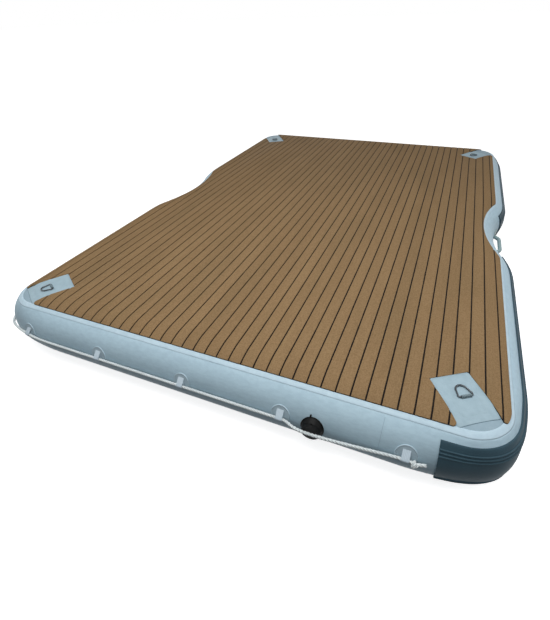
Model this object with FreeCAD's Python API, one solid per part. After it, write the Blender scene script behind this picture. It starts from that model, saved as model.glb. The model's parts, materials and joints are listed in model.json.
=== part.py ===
import FreeCAD, Part
import math
import os

# Inflatable floating dock: a rectangular drop-stitch platform with rounded side walls, a shallow
# notch in each long side, a faux-teak deck pad, corner tow rings, carry handles in the notches,
# a rubbing strake on the right side, a grab line on the front and left sides, and an air valve.
# The origin is the centre of the flat underside, +X to the right, +Y to the rear and +Z up.
# All lengths are in millimetres and all angles in degrees.

V = FreeCAD.Vector
UP = V(0, 0, 1)
ORIGIN = V(0, 0, 0)

# Overall hull
LENGTH = 3100.0
WIDTH = 2136.0
HULL_HEIGHT = 254.0
CORNER_R = 200.0

# Section of the side wall: a near half-round wall that runs into the top by a flatter shoulder
SHOULDER_R = 230.0
SHOULDER_ARC = 22.0
MID_HEIGHT = HULL_HEIGHT / 2
WALL_R = (MID_HEIGHT - SHOULDER_R * (1 - math.cos(math.radians(SHOULDER_ARC)))) / math.cos(
    math.radians(SHOULDER_ARC)
)
WALL_ARC = 90.0 - SHOULDER_ARC
SHOULDER_START = WALL_R + (SHOULDER_R - WALL_R) * math.sin(math.radians(SHOULDER_ARC))
CORE_INSET = SHOULDER_START + 4.0

# The belly of the wall ends at a seam. Near a corner the taut side strip pulls the belly inward:
# gently over a reach before the corner, most at a small angle into it, and a little less at its tip.
SEAM_ANGLE = 62.0
SEAM_DEPTH = WALL_R * (1 - math.cos(math.radians(SEAM_ANGLE)))
SEAM_RISE = WALL_R * math.sin(math.radians(SEAM_ANGLE))
PULL_REACH = 155.0
PULL_POWER = 1.9
PULL_START = 15.0
PULL_MOST = 20.5
PULL_MOST_ANGLE = 17.0
PULL_TIP = 16.5
PULL_LINE_STEPS = 7
PULL_ARC_STEPS = 16

# Side notches
NOTCH_Y = -40.0
NOTCH_DEPTH = 70.0
NOTCH_R = 790.0
BLEND_R = 600.0

# Deck pad: a dark base sheet under strips of brown foam, with open seams between the strips
PAD_INSET = 82.0
PAD_SHIFT_X = 6.0
PAD_BLEND_R = 60.0
PAD_BASE_T = 3.0
PLANK_T = 2.0
PLANK_PITCH = 48.0
SEAM_COUNT = 41
SEAM_WIDTH = 5.5
PAD_TIP_R = 9.0

# Seam tapes over the two edges of the side wall
TAPE_T = 1.0
TAPE_BOTTOM_INNER_ANGLE = 82.0

# Corner patches and tow rings
PATCH_LENGTH = 176.0
PATCH_WIDTH = 132.0
PATCH_T = 1.2
PATCH_GAP = 1.5
PATCH_TURN = 33.0
PATCH_X = 858.0
PATCH_FRONT_Y = -1357.0
PATCH_REAR_Y = 1247.0
PATCH_INNER_T = 0.8
PATCH_INNER_LENGTH = 128.0
PATCH_INNER_WIDTH = 84.0
PATCH_CORNER_R = 4.0
RING_WIRE_R = 2.6
RING_CORNER_X = 17.5
RING_CORNER_R = 6.0
RING_BOW_R = 18.0
RING_BOW_Y = 25.5
RING_SPOTS = {
    "front_right": (5.5, -0.5, 0.0),
    "front_left": (6.0, 6.0, 180.0),
    "rear_right": (0.0, 0.0, 0.0),
    "rear_left": (0.0, 0.0, 0.0),
}
STRAP_BORE_CLEARANCE = 0.06
STRAP_R = 4.2
STRAP_WIDTH = 33.0
STRAP_RIB_R = 4.7
STRAP_RIB_WIDTH = 2.4
STRAP_RIB_PITCH = 5.0
STRAP_FOOT_LENGTH = 12.0
STRAP_FOOT_T = 1.8

# Carry handles
HANDLE_Y = -15.0
HANDLE_TUBE_R = 10.0
HANDLE_STANDOFF = 37.0
HANDLE_HALF_GRIP = 72.0
HANDLE_HALF_SPAN = 122.0
HANDLE_BEND_R = 42.0
HANDLE_PAD_T = 3.0
HANDLE_PAD_LENGTH = 74.0
HANDLE_PAD_HEIGHT = 56.0
HANDLE_PAD_CORNER_R = 12.0
HANDLE_PAD_SPAN = 35.0

# Rubbing strakes
STRAKE_T = 5.0
STRAKE_ARC = 50.0
STRAKE_END_X = 810.0
STRAKE_END_LEAN = 5.4
STRAKE_EDGE_T = 2.5
RIB_ANGLES = (26.0, 31.3, 36.5)
RIB_HEIGHT = 3.0
RIB_HALF_ANGLE = 1.5

# Rope guides: a round patch with a raised rim and a loop of webbing
GUIDE_RISE = 7.0
GUIDE_FRONT_X = (-830.0, -444.0, -58.0, 328.0, 730.0)
GUIDE_LEFT_Y = (-1255.0, -880.0, -530.0)
GUIDE_PATCH_R = 34.0
GUIDE_PATCH_T = 1.5
GUIDE_RIM_WIDTH = 2.5
GUIDE_RIM_T = 2.4
LOOP_WIDTH = 24.0
LOOP_WEB = 1.7
LOOP_TOP_RISE = 28.0
LOOP_TOP_DEPTH = 9.0
GUIDE_BAND = (-35.0, 50.0)

# Grab line
ROPE_R = 5.75
ROPE_STANDOFF = 10.0
ROPE_Z = 144.0
ROPE_LEFT_Z = 124.0
ROPE_EASE_R = 750.0
ROPE_CORNER = (
    (-768.7, -1560.0, 144.0),
    (-879.0, -1543.5, 144.0),
    (-952.2, -1521.1, 141.5),
    (-988.0, -1499.6, 136.5),
    (-1017.5, -1470.1, 131.5),
    (-1039.0, -1434.3, 126.5),
    (-1061.4, -1361.1, 124.0),
    (-1078.0, -1250.8, 124.0),
)
ROPE_OVER_CAP = 30.3
ROPE_CAP_RIGHT = 45.0
ROPE_CAP_LEFT = 50.0
ROPE_LOOP_LEAD = 16.0
ROPE_GUIDE_CLEARANCE = 0.6
KNOT_R = 10.5
KNOT_STANDOFF = 14.6
KNOT_HALF = 11.0
KNOT_CHAMFER = 3.5
KNOT_GAP = 1.0
TAIL_LENGTH = 32.0
TAIL_STANDOFF = 6.6

# Air valve, with its axis pointing out of the front wall
VALVE_X = 439.5
VALVE_Z = 139.0
VALVE_NECK_R = 21.9
VALVE_BORE_R = 16.0
VALVE_BARREL_IN = 48.0
VALVE_BOSS_R = 24.0
VALVE_BOSS_OUT = 18.0
VALVE_FLANGE_R = 39.5
VALVE_FLANGE_T = 2.5
VALVE_FLANGE_BAND = (-30.0, 40.0)
VALVE_FLANGE_BORE_R = 20.9
VALVE_COLLAR_FOOT_R = 39.0
VALVE_COLLAR_DEPTH = 12.0
VALVE_COLLAR_OUT = 10.0
VALVE_COLLAR_R = 31.0
VALVE_NIB_X = -9.5
VALVE_NIB_WIDTH = 6.0
VALVE_NIB_REACH = 46.0
VALVE_SKIN = 10.5
VALVE_POCKET_R = 34.0
VALVE_POCKET_IN = 64.0
SPIDER_OUTER_FACE = -16.0
SPIDER_T = 4.0
SPIDER_HUB_R = 6.5
SPIDER_ARM_WIDTH = 4.0
STEM_R = 4.0
STEM_FIT = 0.06
BUTTON_R = 8.5
BUTTON_IN = 1.0
BUTTON_OUT = 3.5
POPPET_R = 19.0
POPPET_T = 3.0
SEAL_T = 1.9
SEAL_GAP = 0.1
SEAL_BORE_R = 10.0
SPRING_R = 6.2
SPRING_WIRE = 1.2
SPRING_TURNS = 4.0
NUT_R = 31.0
NUT_T = 8.0
NUT_NOTCHES = 8
NUT_NOTCH_R = 3.0
CAP_R = 31.0
CAP_IN = 12.0
CAP_OUT = 23.0
CAP_ROOF_T = 3.0
CAP_BORE_CLEARANCE = 0.3
CAP_INSET_R = 19.0
CAP_INSET_DEPTH = 1.2
CAP_GRIP_COUNT = 16
CAP_GRIP_R = 2.0
CAP_EDGE_R = 1.2
GASKET_IN = 18.1
GASKET_BORE_R = 17.0
TETHER_R = 30.0
TETHER_T = 1.4
TETHER_TAB_WIDTH = 7.0
TETHER_TAB_REACH = 35.0

# Margin by which a cutting tool runs past what it cuts
OVER = 5.0

FRONT_Y = -LENGTH / 2
SIDE_X = WIDTH / 2
PAD_Z = HULL_HEIGHT + PAD_BASE_T + PLANK_T


def polar(angle, radius=1.0):
    """Vector of the given length in the XY plane at an angle from +X."""
    return V(radius * math.cos(math.radians(angle)), radius * math.sin(math.radians(angle)), 0)


def wall_point(angle, offset=0.0, pull=0.0):
    """Point of the side-wall section, x outward from the hull's widest line and z up.

    The angle is that of the wall's outward normal above the horizontal, offset is a distance
    outward along that normal, and pull is how far the belly is drawn inward.
    """
    size = abs(angle)
    if size <= SEAM_ANGLE:
        depth = SEAM_DEPTH - pull
        radius = (SEAM_RISE ** 2 + depth ** 2) / (2 * depth)
        turn = math.asin(SEAM_RISE / radius) * size / SEAM_ANGLE
        x = (radius + offset) * math.cos(turn) - radius - pull
        z = (radius + offset) * math.sin(turn)
        return V(x, 0, MID_HEIGHT + math.copysign(z, angle))
    if size <= WALL_ARC:
        centre_x, centre_z, radius = -WALL_R, 0.0, WALL_R
    else:
        centre_x = -SHOULDER_START
        centre_z = MID_HEIGHT - SHOULDER_R
        radius = SHOULDER_R
    x = centre_x + (radius + offset) * math.cos(math.radians(size))
    z = centre_z + (radius + offset) * math.sin(math.radians(size))
    return V(x, 0, MID_HEIGHT + math.copysign(z, angle))


def wall_edges(low, high, offset=0.0, pull=0.0):
    """Arcs of the side-wall section from one normal angle to a higher one."""
    joints = (-WALL_ARC, -SEAM_ANGLE, SEAM_ANGLE, WALL_ARC)
    breaks = [low] + [a for a in joints if low < a < high] + [high]
    edges = []
    for ends in zip(breaks[:-1], breaks[1:]):
        angles = (ends[0], sum(ends) / 2, ends[1])
        edges.append(Part.Arc(*[wall_point(a, offset, pull) for a in angles]).toShape())
    return edges


def closed_face(edges):
    """Face bounded by a chain of edges, closed with a straight edge."""
    wire = Part.Wire(edges)
    ends = [wire.OrderedVertexes[0].Point, wire.OrderedVertexes[-1].Point]
    if ends[0].distanceToPoint(ends[1]) > 1e-6:
        wire = Part.Wire(edges + [Part.makeLine(ends[1], ends[0])])
    return Part.Face(wire)


def polyline(points):
    """Straight edges through a list of points."""
    return [Part.makeLine(a, b) for a, b in zip(points[:-1], points[1:])]


def hull_section(pull=0.0):
    """Half section of the whole hull, from the core out to the wall."""
    bottom = wall_point(-90.0)
    inner_bottom = V(-CORE_INSET, 0, 0)
    inner_top = V(-CORE_INSET, 0, HULL_HEIGHT)
    edges = polyline([inner_top, inner_bottom, bottom]) + wall_edges(-90.0, 90.0, 0.0, pull)
    return closed_face(edges)


def band_section(low, high, inner, outer, pull=0.0):
    """Section of a band that lies on the wall between two normal angles and two offsets."""
    edges = wall_edges(low, high, inner, pull) + wall_edges(low, high, outer, pull)
    for angle in (low, high):
        edges += polyline([wall_point(angle, inner, pull), wall_point(angle, outer, pull)])
    return Part.Face(Part.Wire(Part.__sortEdges__(edges)))


def deck_section(inner, outer):
    """Section of a layer over the top shoulder, reaching in to the core."""
    far_in = V(-CORE_INSET, 0, HULL_HEIGHT)
    edges = wall_edges(SEAM_ANGLE, 90.0, inner)
    edges += wall_edges(SEAM_ANGLE, 90.0, outer)
    edges += polyline([wall_point(SEAM_ANGLE, inner), wall_point(SEAM_ANGLE, outer)])
    edges += polyline(
        [
            wall_point(90.0, inner),
            far_in + V(0, 0, inner),
            far_in + V(0, 0, outer),
            wall_point(90.0, outer),
        ]
    )
    return Part.Face(Part.Wire(Part.__sortEdges__(edges)))


def side_segments(inset, blend):
    """Outline of the right half, from the front-right corner to the end of the rear edge.

    Each entry is ("line", start, end) or ("arc", centre, radius, first angle, last angle); an arc
    whose last angle is smaller bends inward, with its centre outside the hull.
    """
    x = SIDE_X - inset
    y = LENGTH / 2 - inset
    corner = CORNER_R - inset
    notch = NOTCH_R + inset
    notch_centre = V(x - NOTCH_DEPTH + notch, NOTCH_Y, 0)
    half_gap = math.sqrt(NOTCH_DEPTH * (2 * (notch + blend) - NOTCH_DEPTH))
    turn = math.degrees(math.asin(half_gap / (notch + blend)))
    near = V(x - blend, NOTCH_Y - half_gap, 0)
    far = V(x - blend, NOTCH_Y + half_gap, 0)
    return [
        ("arc", V(x - corner, -y + corner, 0), corner, -90.0, 0.0),
        ("line", V(x, -y + corner, 0), V(x, near.y, 0)),
        ("arc", near, blend, 0.0, turn),
        ("arc", notch_centre, notch, 180.0 + turn, 180.0 - turn),
        ("arc", far, blend, -turn, 0.0),
        ("line", V(x, far.y, 0), V(x, y - corner, 0)),
        ("arc", V(x - corner, y - corner, 0), corner, 0.0, 90.0),
        ("line", V(x - corner, y, 0), V(-x + corner, y, 0)),
    ]


def mirror_segments(segments):
    """The same chain on the left half, kept in anticlockwise order."""
    mirrored = []
    for segment in reversed(segments):
        if segment[0] == "line":
            start, end = segment[2], segment[1]
            mirrored.append(("line", V(-start.x, start.y, 0), V(-end.x, end.y, 0)))
        else:
            centre, radius, first, last = segment[1:]
            mirrored.append(("arc", V(-centre.x, centre.y, 0), radius, 180.0 - last, 180.0 - first))
    return mirrored


def outline_segments(inset=0.0, blend=None):
    """The hull's whole outline, or a line parallel to it by an inset."""
    right = side_segments(inset, BLEND_R - inset if blend is None else blend)
    x = SIDE_X - CORNER_R
    y = LENGTH / 2 - inset
    left = mirror_segments(right[:-1])
    return right + left + [("line", V(-x, -y, 0), V(x, -y, 0))]


def wall_segments():
    """The whole outline for the belly, with each corner and its approaches as one piece."""
    plain = outline_segments()
    corners = [s[0] == "arc" and s[2] == CORNER_R for s in plain]
    segments = []
    for index, segment in enumerate(plain):
        if corners[index]:
            segments.append(("corner", segment[1], segment[3]))
        elif segment[0] == "line":
            start, end = segment[1:]
            travel = (end - start).normalize()
            if corners[index - 1]:
                start = start + travel * PULL_REACH
            if corners[(index + 1) % len(plain)]:
                end = end - travel * PULL_REACH
            segments.append(("line", start, end))
        else:
            segments.append(segment)
    return segments


def pull_before(distance):
    """Inward shift of the belly at a distance before the start of a corner."""
    return PULL_START * ((PULL_REACH - distance) / PULL_REACH) ** PULL_POWER


def pull_round(angle):
    """Inward shift of the belly at an angle into a corner."""
    near = min(angle, 90.0 - angle)
    if near < PULL_MOST_ANGLE:
        slope = PULL_START * PULL_POWER / PULL_REACH * math.radians(CORNER_R)
        span, low, high = PULL_MOST_ANGLE, PULL_START, PULL_MOST
        t = near / span
    else:
        slope = 0.0
        span, low, high = 45.0 - PULL_MOST_ANGLE, PULL_MOST, PULL_TIP
        t = (near - PULL_MOST_ANGLE) / span
    ease = t * t * (3 - 2 * t)
    return low + (high - low) * ease + slope * span * t * (1 - t) ** 2


def corner_stations(centre, first):
    """Position, heading and pull of each section on the way round one corner."""
    lead = [PULL_REACH * (1 - index / PULL_LINE_STEPS) for index in range(PULL_LINE_STEPS)]
    last = first + 90.0
    stations = []
    for before in lead:
        position = centre + polar(first, CORNER_R) - polar(last, before)
        stations.append((position, first, pull_before(before)))
    for index in range(PULL_ARC_STEPS + 1):
        angle = 90.0 * index / PULL_ARC_STEPS
        position = centre + polar(first + angle, CORNER_R)
        stations.append((position, first + angle, pull_round(angle)))
    for after in reversed(lead):
        position = centre + polar(last, CORNER_R) - polar(first, after)
        stations.append((position, last, pull_before(after)))
    return stations


def segment_edge(segment):
    """Edge in the XY plane for one outline segment."""
    if segment[0] == "line":
        return Part.makeLine(segment[1], segment[2])
    centre, radius, first, last = segment[1:]
    points = [centre + polar(a, radius) for a in (first, (first + last) / 2, last)]
    return Part.Arc(*points).toShape()


def outline_face(inset=0.0, blend=None):
    """Face inside an outline."""
    return Part.Face(Part.Wire([segment_edge(s) for s in outline_segments(inset, blend)]))


def corner_loft(section, centre, first):
    """Solid through the wall sections round one corner."""
    wires = []
    for position, heading, pull in corner_stations(centre, first):
        wires.append(placed(section(pull), heading, position).OuterWire)
    return Part.makeLoft(wires, True, True)


def follow(section, segments):
    """Solid made by carrying a wall section, a function of the pull, along outline segments."""
    pieces = []
    for segment in segments:
        face = section(0.0)
        if segment[0] == "corner":
            pieces.append(corner_loft(section, segment[1], segment[2]))
        elif segment[0] == "line":
            start, end = segment[1], segment[2]
            travel = end - start
            outward = math.degrees(math.atan2(-travel.x, travel.y))
            face.rotate(ORIGIN, UP, outward)
            face.translate(start)
            pieces.append(face.extrude(travel))
        else:
            centre, radius, first, last = segment[1:]
            concave = last < first
            face.rotate(ORIGIN, UP, first + (180.0 if concave else 0.0))
            face.translate(centre + polar(first, radius))
            axis = V(0, 0, -1) if concave else UP
            pieces.append(face.revolve(centre, axis, abs(last - first)))
    if len(pieces) == 1:
        return pieces[0]
    return pieces[0].multiFuse(pieces[1:]).removeSplitter()


def prism(face, low, high):
    """Vertical prism on a face of the XY plane."""
    lifted = face.copy()
    lifted.translate(V(0, 0, low))
    return lifted.extrude(V(0, 0, high - low))


def rounded_rectangle(length, width, radius):
    """Face centred on the origin, with its length along Y."""
    x, y = width / 2, length / 2
    corners = [(x, -y), (x, y), (-x, y), (-x, -y)]
    edges = []
    for index, (cx, cy) in enumerate(corners):
        centre = V(cx - math.copysign(radius, cx), cy - math.copysign(radius, cy), 0)
        first = -90.0 + 90.0 * index
        arc = [centre + polar(a, radius) for a in (first, first + 45.0, first + 90.0)]
        edges.append(Part.Arc(*arc).toShape())
    joined = []
    for index, arc in enumerate(edges):
        joined.append(arc)
        following = edges[(index + 1) % len(edges)]
        joined.append(Part.makeLine(arc.Vertexes[-1].Point, following.Vertexes[0].Point))
    return Part.Face(Part.Wire(joined))


def fillet_path(points, radii):
    """Straight runs joined by tangent arcs at the inner points of a route."""
    edges = []
    start = points[0]
    for index in range(1, len(points) - 1):
        corner = points[index]
        before = (points[index - 1] - corner).normalize()
        after = (points[index + 1] - corner).normalize()
        turn = math.pi - before.getAngle(after)
        radius = radii[index - 1]
        cut = radius * math.tan(turn / 2)
        arc_start = corner + before * cut
        arc_end = corner + after * cut
        bisector = (before + after).normalize()
        centre = corner + bisector * (radius / math.cos(turn / 2))
        middle = centre - bisector * radius
        if start.distanceToPoint(arc_start) > 1e-6:
            edges.append(Part.makeLine(start, arc_start))
        edges.append(Part.Arc(arc_start, middle, arc_end).toShape())
        start = arc_end
    edges.append(Part.makeLine(start, points[-1]))
    return edges


def tube(edges, radius):
    """Round bar along straight and circular edges."""
    pieces = []
    for edge in edges:
        start = edge.valueAt(edge.FirstParameter)
        direction = edge.tangentAt(edge.FirstParameter)
        disc = Part.Face(Part.Wire(Part.makeCircle(radius, start, direction)))
        if edge.Curve.TypeId == "Part::GeomLine":
            end = edge.valueAt(edge.LastParameter)
            pieces.append(disc.extrude(end - start))
        else:
            sweep = math.degrees(edge.Length / edge.Curve.Radius)
            pieces.append(disc.revolve(edge.Curve.Center, edge.Curve.Axis, sweep))
    return pieces[0].multiFuse(pieces[1:]).removeSplitter()


def placed(shape, angle, position):
    """Copy of a shape turned about Z and moved."""
    copy = shape.copy()
    copy.rotate(ORIGIN, UP, angle)
    copy.translate(position)
    return copy


def save(shape, name):
    """Write one node, as a single solid or as a group of separate solids."""
    solids = shape.Solids
    result = solids[0] if len(solids) == 1 else Part.makeCompound(solids)
    if not result.isValid():
        print("not valid:", name)
    result.exportStep("parts/" + name + ".step")
    print(name, len(solids), round(sum(s.Volume for s in solids) / 1000.0, 2), "cm3")
    return result


def valve_place(shape):
    """Move a shape modelled about +Z at the origin onto the valve's axis, with +Z pointing out."""
    copy = shape.copy()
    copy.rotate(ORIGIN, V(1, 0, 0), 90.0)
    copy.translate(V(VALVE_X, FRONT_Y, VALVE_Z))
    return copy


def disc_at(radius, low, high, x=0.0, y=0.0):
    """Cylinder about a line parallel to Z."""
    return Part.makeCylinder(radius, high - low, V(x, y, low))


def ring_at(outer, inner, low, high):
    """Flat ring about Z."""
    return disc_at(outer, low, high).cut(disc_at(inner, low - OVER, high + OVER))


def make_hull():
    """The inflated chamber, with the pocket in which the valve's barrel and nut sit."""
    core = prism(outline_face(CORE_INSET), 0, HULL_HEIGHT)
    rim = follow(hull_section, wall_segments())
    hull = core.fuse(rim).removeSplitter()
    pocket = disc_at(VALVE_POCKET_R, -VALVE_POCKET_IN, -VALVE_SKIN)
    neck = disc_at(VALVE_NECK_R, -VALVE_SKIN - OVER, OVER)
    return hull.cut(valve_place(pocket.fuse(neck)))


def deck_layer(inner, outer):
    """A layer over the whole top, between two distances above the hull's skin."""
    rim = follow(lambda _: deck_section(inner, outer), outline_segments())
    core = prism(outline_face(CORE_INSET), HULL_HEIGHT + inner, HULL_HEIGHT + outer)
    return rim.fuse(core).removeSplitter()


def patch_places():
    """Name, centre and turn about Z of each corner patch; its local +Y points into the deck."""
    return [
        ("front_right", V(PATCH_X, PATCH_FRONT_Y, 0), PATCH_TURN),
        ("front_left", V(-PATCH_X, PATCH_FRONT_Y, 0), -PATCH_TURN),
        ("rear_right", V(PATCH_X, PATCH_REAR_Y, 0), 180.0 - PATCH_TURN),
        ("rear_left", V(-PATCH_X, PATCH_REAR_Y, 0), 180.0 + PATCH_TURN),
    ]


def pad_outline():
    """Full outline of the deck pad, before the corners are cut away for the patches."""
    face = outline_face(PAD_INSET, PAD_BLEND_R)
    face.translate(V(PAD_SHIFT_X, 0, 0))
    return face


def pad_face():
    """Outline of the deck pad with a slot from each patch out to the corner, and rounded tips."""
    face = pad_outline()
    reach = 2 * CORNER_R
    width = PATCH_WIDTH + 2 * PATCH_GAP
    top = PATCH_LENGTH / 2 + PATCH_GAP
    slot = Part.makePlane(width, top + reach, V(-width / 2, -reach, 0))
    slots = [placed(slot, turn, centre) for _, centre, turn in patch_places()]
    cut = face.cut(Part.makeCompound(slots))
    shrunk = cut.Faces[0].makeOffset2D(-PAD_TIP_R)
    return shrunk.makeOffset2D(PAD_TIP_R).Faces[0]


def make_deck_pad():
    """Base sheet and strips of the deck pad."""
    footprint = pad_face()
    cutter = prism(footprint, MID_HEIGHT, HULL_HEIGHT + 4 * OVER)
    base = deck_layer(0.0, PAD_BASE_T).common(cutter)
    strips = deck_layer(PAD_BASE_T, PAD_BASE_T + PLANK_T).common(cutter)
    seams = []
    for index in range(SEAM_COUNT):
        x = PAD_SHIFT_X + (index - (SEAM_COUNT - 1) / 2) * PLANK_PITCH
        low = V(x - SEAM_WIDTH / 2, FRONT_Y, MID_HEIGHT)
        seams.append(Part.makeBox(SEAM_WIDTH, LENGTH, HULL_HEIGHT, low))
    return base, strips.cut(Part.makeCompound(seams))


def make_top_tape():
    """Light border round the pad: the tape over the upper edge of the side wall."""
    layer = deck_layer(0.0, TAPE_T).cut(prism(pad_outline(), MID_HEIGHT, HULL_HEIGHT + OVER))
    sheet = rounded_rectangle(PATCH_LENGTH, PATCH_WIDTH, PATCH_CORNER_R)
    patches = [prism(placed(sheet, turn, at), MID_HEIGHT, PAD_Z) for _, at, turn in patch_places()]
    return layer.cut(Part.makeCompound(patches))


def make_bottom_tape():
    """Tape over the lower edge of the side wall, clear of the ground."""

    def section(_):
        return band_section(-TAPE_BOTTOM_INNER_ANGLE, -SEAM_ANGLE, 0.0, TAPE_T)

    return follow(section, outline_segments())


def make_patch(centre, turn):
    """Corner patch with the raised outline of its inner reinforcement."""
    lower = rounded_rectangle(PATCH_LENGTH, PATCH_WIDTH, PATCH_CORNER_R)
    upper = rounded_rectangle(PATCH_INNER_LENGTH, PATCH_INNER_WIDTH, 3 * PATCH_CORNER_R)
    sheet = deck_layer(0.0, PATCH_T).common(prism(placed(lower, turn, centre), MID_HEIGHT, PAD_Z))
    raised = prism(placed(upper, turn, centre), HULL_HEIGHT, HULL_HEIGHT + PATCH_T + PATCH_INNER_T)
    return sheet.fuse(raised.common(prism(outline_face(CORE_INSET), 0, PAD_Z))).removeSplitter()


def ring_place(name, centre, turn):
    """Centre of a tow ring's bar, and the turn that sends the ring's bow to its local +Y."""
    along, inward, flip = RING_SPOTS[name]
    height = HULL_HEIGHT + PATCH_T + PATCH_INNER_T + STRAP_RIB_R
    point = centre + polar(turn, along) + polar(turn + 90.0, inward) + V(0, 0, height)
    return point, turn + flip


def make_ring():
    """Rounded triangular tow ring with its bar on the X axis and its bow towards +Y."""
    foot = V(RING_CORNER_X, RING_CORNER_R, 0)
    bow = V(0, RING_BOW_Y, 0)
    lean = foot - bow
    heading = math.degrees(math.atan2(lean.y, lean.x))
    tangent = heading + math.degrees(math.acos((RING_BOW_R - RING_CORNER_R) / lean.Length))
    edges = []
    for side in (1, -1):
        middle = (tangent - 90.0) / 2
        corner = [foot + polar(a, RING_CORNER_R) for a in (-90.0, middle, tangent)]
        corner = [V(side * p.x, p.y, 0) for p in corner]
        upper = bow + polar(tangent, RING_BOW_R)
        edges.append(Part.Arc(*corner).toShape())
        edges.append(Part.makeLine(corner[-1], V(side * upper.x, upper.y, 0)))
    bow_arc = [bow + polar(a, RING_BOW_R) for a in (tangent, 90.0, 180.0 - tangent)]
    edges.append(Part.Arc(*bow_arc).toShape())
    edges.append(Part.makeLine(V(-RING_CORNER_X, 0, 0), V(RING_CORNER_X, 0, 0)))
    return tube(edges, RING_WIRE_R)


def make_ring_strap():
    """Ribbed webbing that wraps the ring's bar, on a narrow glued foot."""
    turn = V(1, 0, 0)
    start = V(-STRAP_WIDTH / 2, 0, 0)
    parts = []
    count = int(STRAP_WIDTH / STRAP_RIB_PITCH)
    for index in range(count):
        x = (index - (count - 1) / 2) * STRAP_RIB_PITCH - STRAP_RIB_WIDTH / 2
        parts.append(Part.makeCylinder(STRAP_RIB_R, STRAP_RIB_WIDTH, V(x, 0, 0), turn))
    low = V(start.x, -STRAP_FOOT_LENGTH / 2, -STRAP_RIB_R)
    parts.append(Part.makeBox(STRAP_WIDTH, STRAP_FOOT_LENGTH, STRAP_FOOT_T, low))
    wrap = Part.makeCylinder(STRAP_R, STRAP_WIDTH, start, turn).multiFuse(parts)
    over = V(OVER, 0, 0)
    bore = Part.makeCylinder(
        RING_WIRE_R + STRAP_BORE_CLEARANCE, STRAP_WIDTH + 2 * OVER, start - over, turn
    )
    return wrap.removeSplitter().cut(bore)


def make_handle():
    """Moulded carry handle for the right notch: an arched grip with a pad at each foot."""
    wall_x = SIDE_X - NOTCH_DEPTH
    outer_x = wall_x + HANDLE_STANDOFF
    foot_x = wall_x - HANDLE_TUBE_R
    route = [
        V(foot_x, HANDLE_Y - HANDLE_HALF_SPAN, MID_HEIGHT),
        V(outer_x, HANDLE_Y - HANDLE_HALF_GRIP, MID_HEIGHT),
        V(outer_x, HANDLE_Y + HANDLE_HALF_GRIP, MID_HEIGHT),
        V(foot_x, HANDLE_Y + HANDLE_HALF_SPAN, MID_HEIGHT),
    ]
    grip = tube(fillet_path(route, [HANDLE_BEND_R] * 2), HANDLE_TUBE_R)
    notch = [s for s in side_segments(0.0, BLEND_R) if s[0] == "arc" and s[4] < s[3]]
    pads = band_section(-HANDLE_PAD_SPAN, HANDLE_PAD_SPAN, 0.0, HANDLE_PAD_T)
    wall = follow(lambda _: pads.copy(), notch)
    behind = follow(hull_section, notch)
    shape = grip.cut(behind)
    footprint = rounded_rectangle(HANDLE_PAD_LENGTH, HANDLE_PAD_HEIGHT, HANDLE_PAD_CORNER_R)
    for side in (-1, 1):
        block = footprint.extrude(V(0, 0, 4 * NOTCH_DEPTH))
        block.rotate(ORIGIN, V(0, 1, 0), 90.0)
        block.translate(V(wall_x - NOTCH_DEPTH, HANDLE_Y + side * HANDLE_HALF_SPAN, MID_HEIGHT))
        shape = shape.fuse(wall.common(block))
    return shape.removeSplitter()


def strake_section(pull):
    """Extruded rubber section: a band with three ribs near each edge."""
    edge = STRAKE_ARC - STRAKE_EDGE_T
    edges = wall_edges(-STRAKE_ARC, STRAKE_ARC, 0.0, pull)
    last = -edge
    for rib in sorted([-a for a in RIB_ANGLES]) + list(RIB_ANGLES):
        low, high = rib - RIB_HALF_ANGLE, rib + RIB_HALF_ANGLE
        edges += wall_edges(last, low, STRAKE_T, pull)
        foot = [wall_point(a, STRAKE_T, pull) for a in (low, high)]
        crest = wall_point(rib, STRAKE_T + RIB_HEIGHT, pull)
        edges.append(Part.Arc(foot[0], crest, foot[1]).toShape())
        last = high
    edges += wall_edges(last, edge, STRAKE_T, pull)
    for side in (-1, 1):
        stops = ((STRAKE_ARC, 0.0), (STRAKE_ARC, STRAKE_EDGE_T), (edge, STRAKE_T))
        edges += polyline([wall_point(side * a, offset, pull) for a, offset in stops])
    return Part.Face(Part.Wire(Part.__sortEdges__(edges)))


def make_strakes():
    """Front-right and rear-right strakes, each from an end wall round the corner to the notch."""
    segments = wall_segments()
    high = wall_point(STRAKE_ARC).z
    strakes = []
    for side, run in ((-1, segments[0:3]), (1, segments[4:7])):
        waste = Part.makeBox(LENGTH, LENGTH, LENGTH, V(-LENGTH, -LENGTH / 2, -LENGTH / 2))
        waste.rotate(ORIGIN, V(0, 1, 0), STRAKE_END_LEAN)
        waste.translate(V(STRAKE_END_X, side * LENGTH / 2, high))
        strakes.append(follow(strake_section, run).cut(waste))
    return strakes


def eased_guide(run):
    """Setback and turn of a rope guide at a distance past the point where a corner begins."""
    if run <= 0:
        return 0.0, 0.0
    radius = ROPE_EASE_R - ROPE_STANDOFF
    turn = math.asin(run / radius)
    return radius * (1 - math.cos(turn)), math.degrees(turn)


def guide_places():
    """Name, position at rope height, and outward angle of each rope guide."""
    reach = CORNER_R + PULL_REACH
    places = []
    for index, x in enumerate(GUIDE_FRONT_X):
        setback, turn = eased_guide(abs(x) + reach - SIDE_X)
        angle = -90.0 + math.copysign(turn, x)
        places.append((f"front_{index + 1}", V(x, FRONT_Y + setback, ROPE_Z), angle))
    for index, y in enumerate(GUIDE_LEFT_Y):
        setback, turn = eased_guide(abs(y) + reach + FRONT_Y)
        places.append((f"left_{index + 1}", V(-SIDE_X + setback, y, ROPE_LEFT_Z), 180.0 + turn))
    return places


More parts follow.
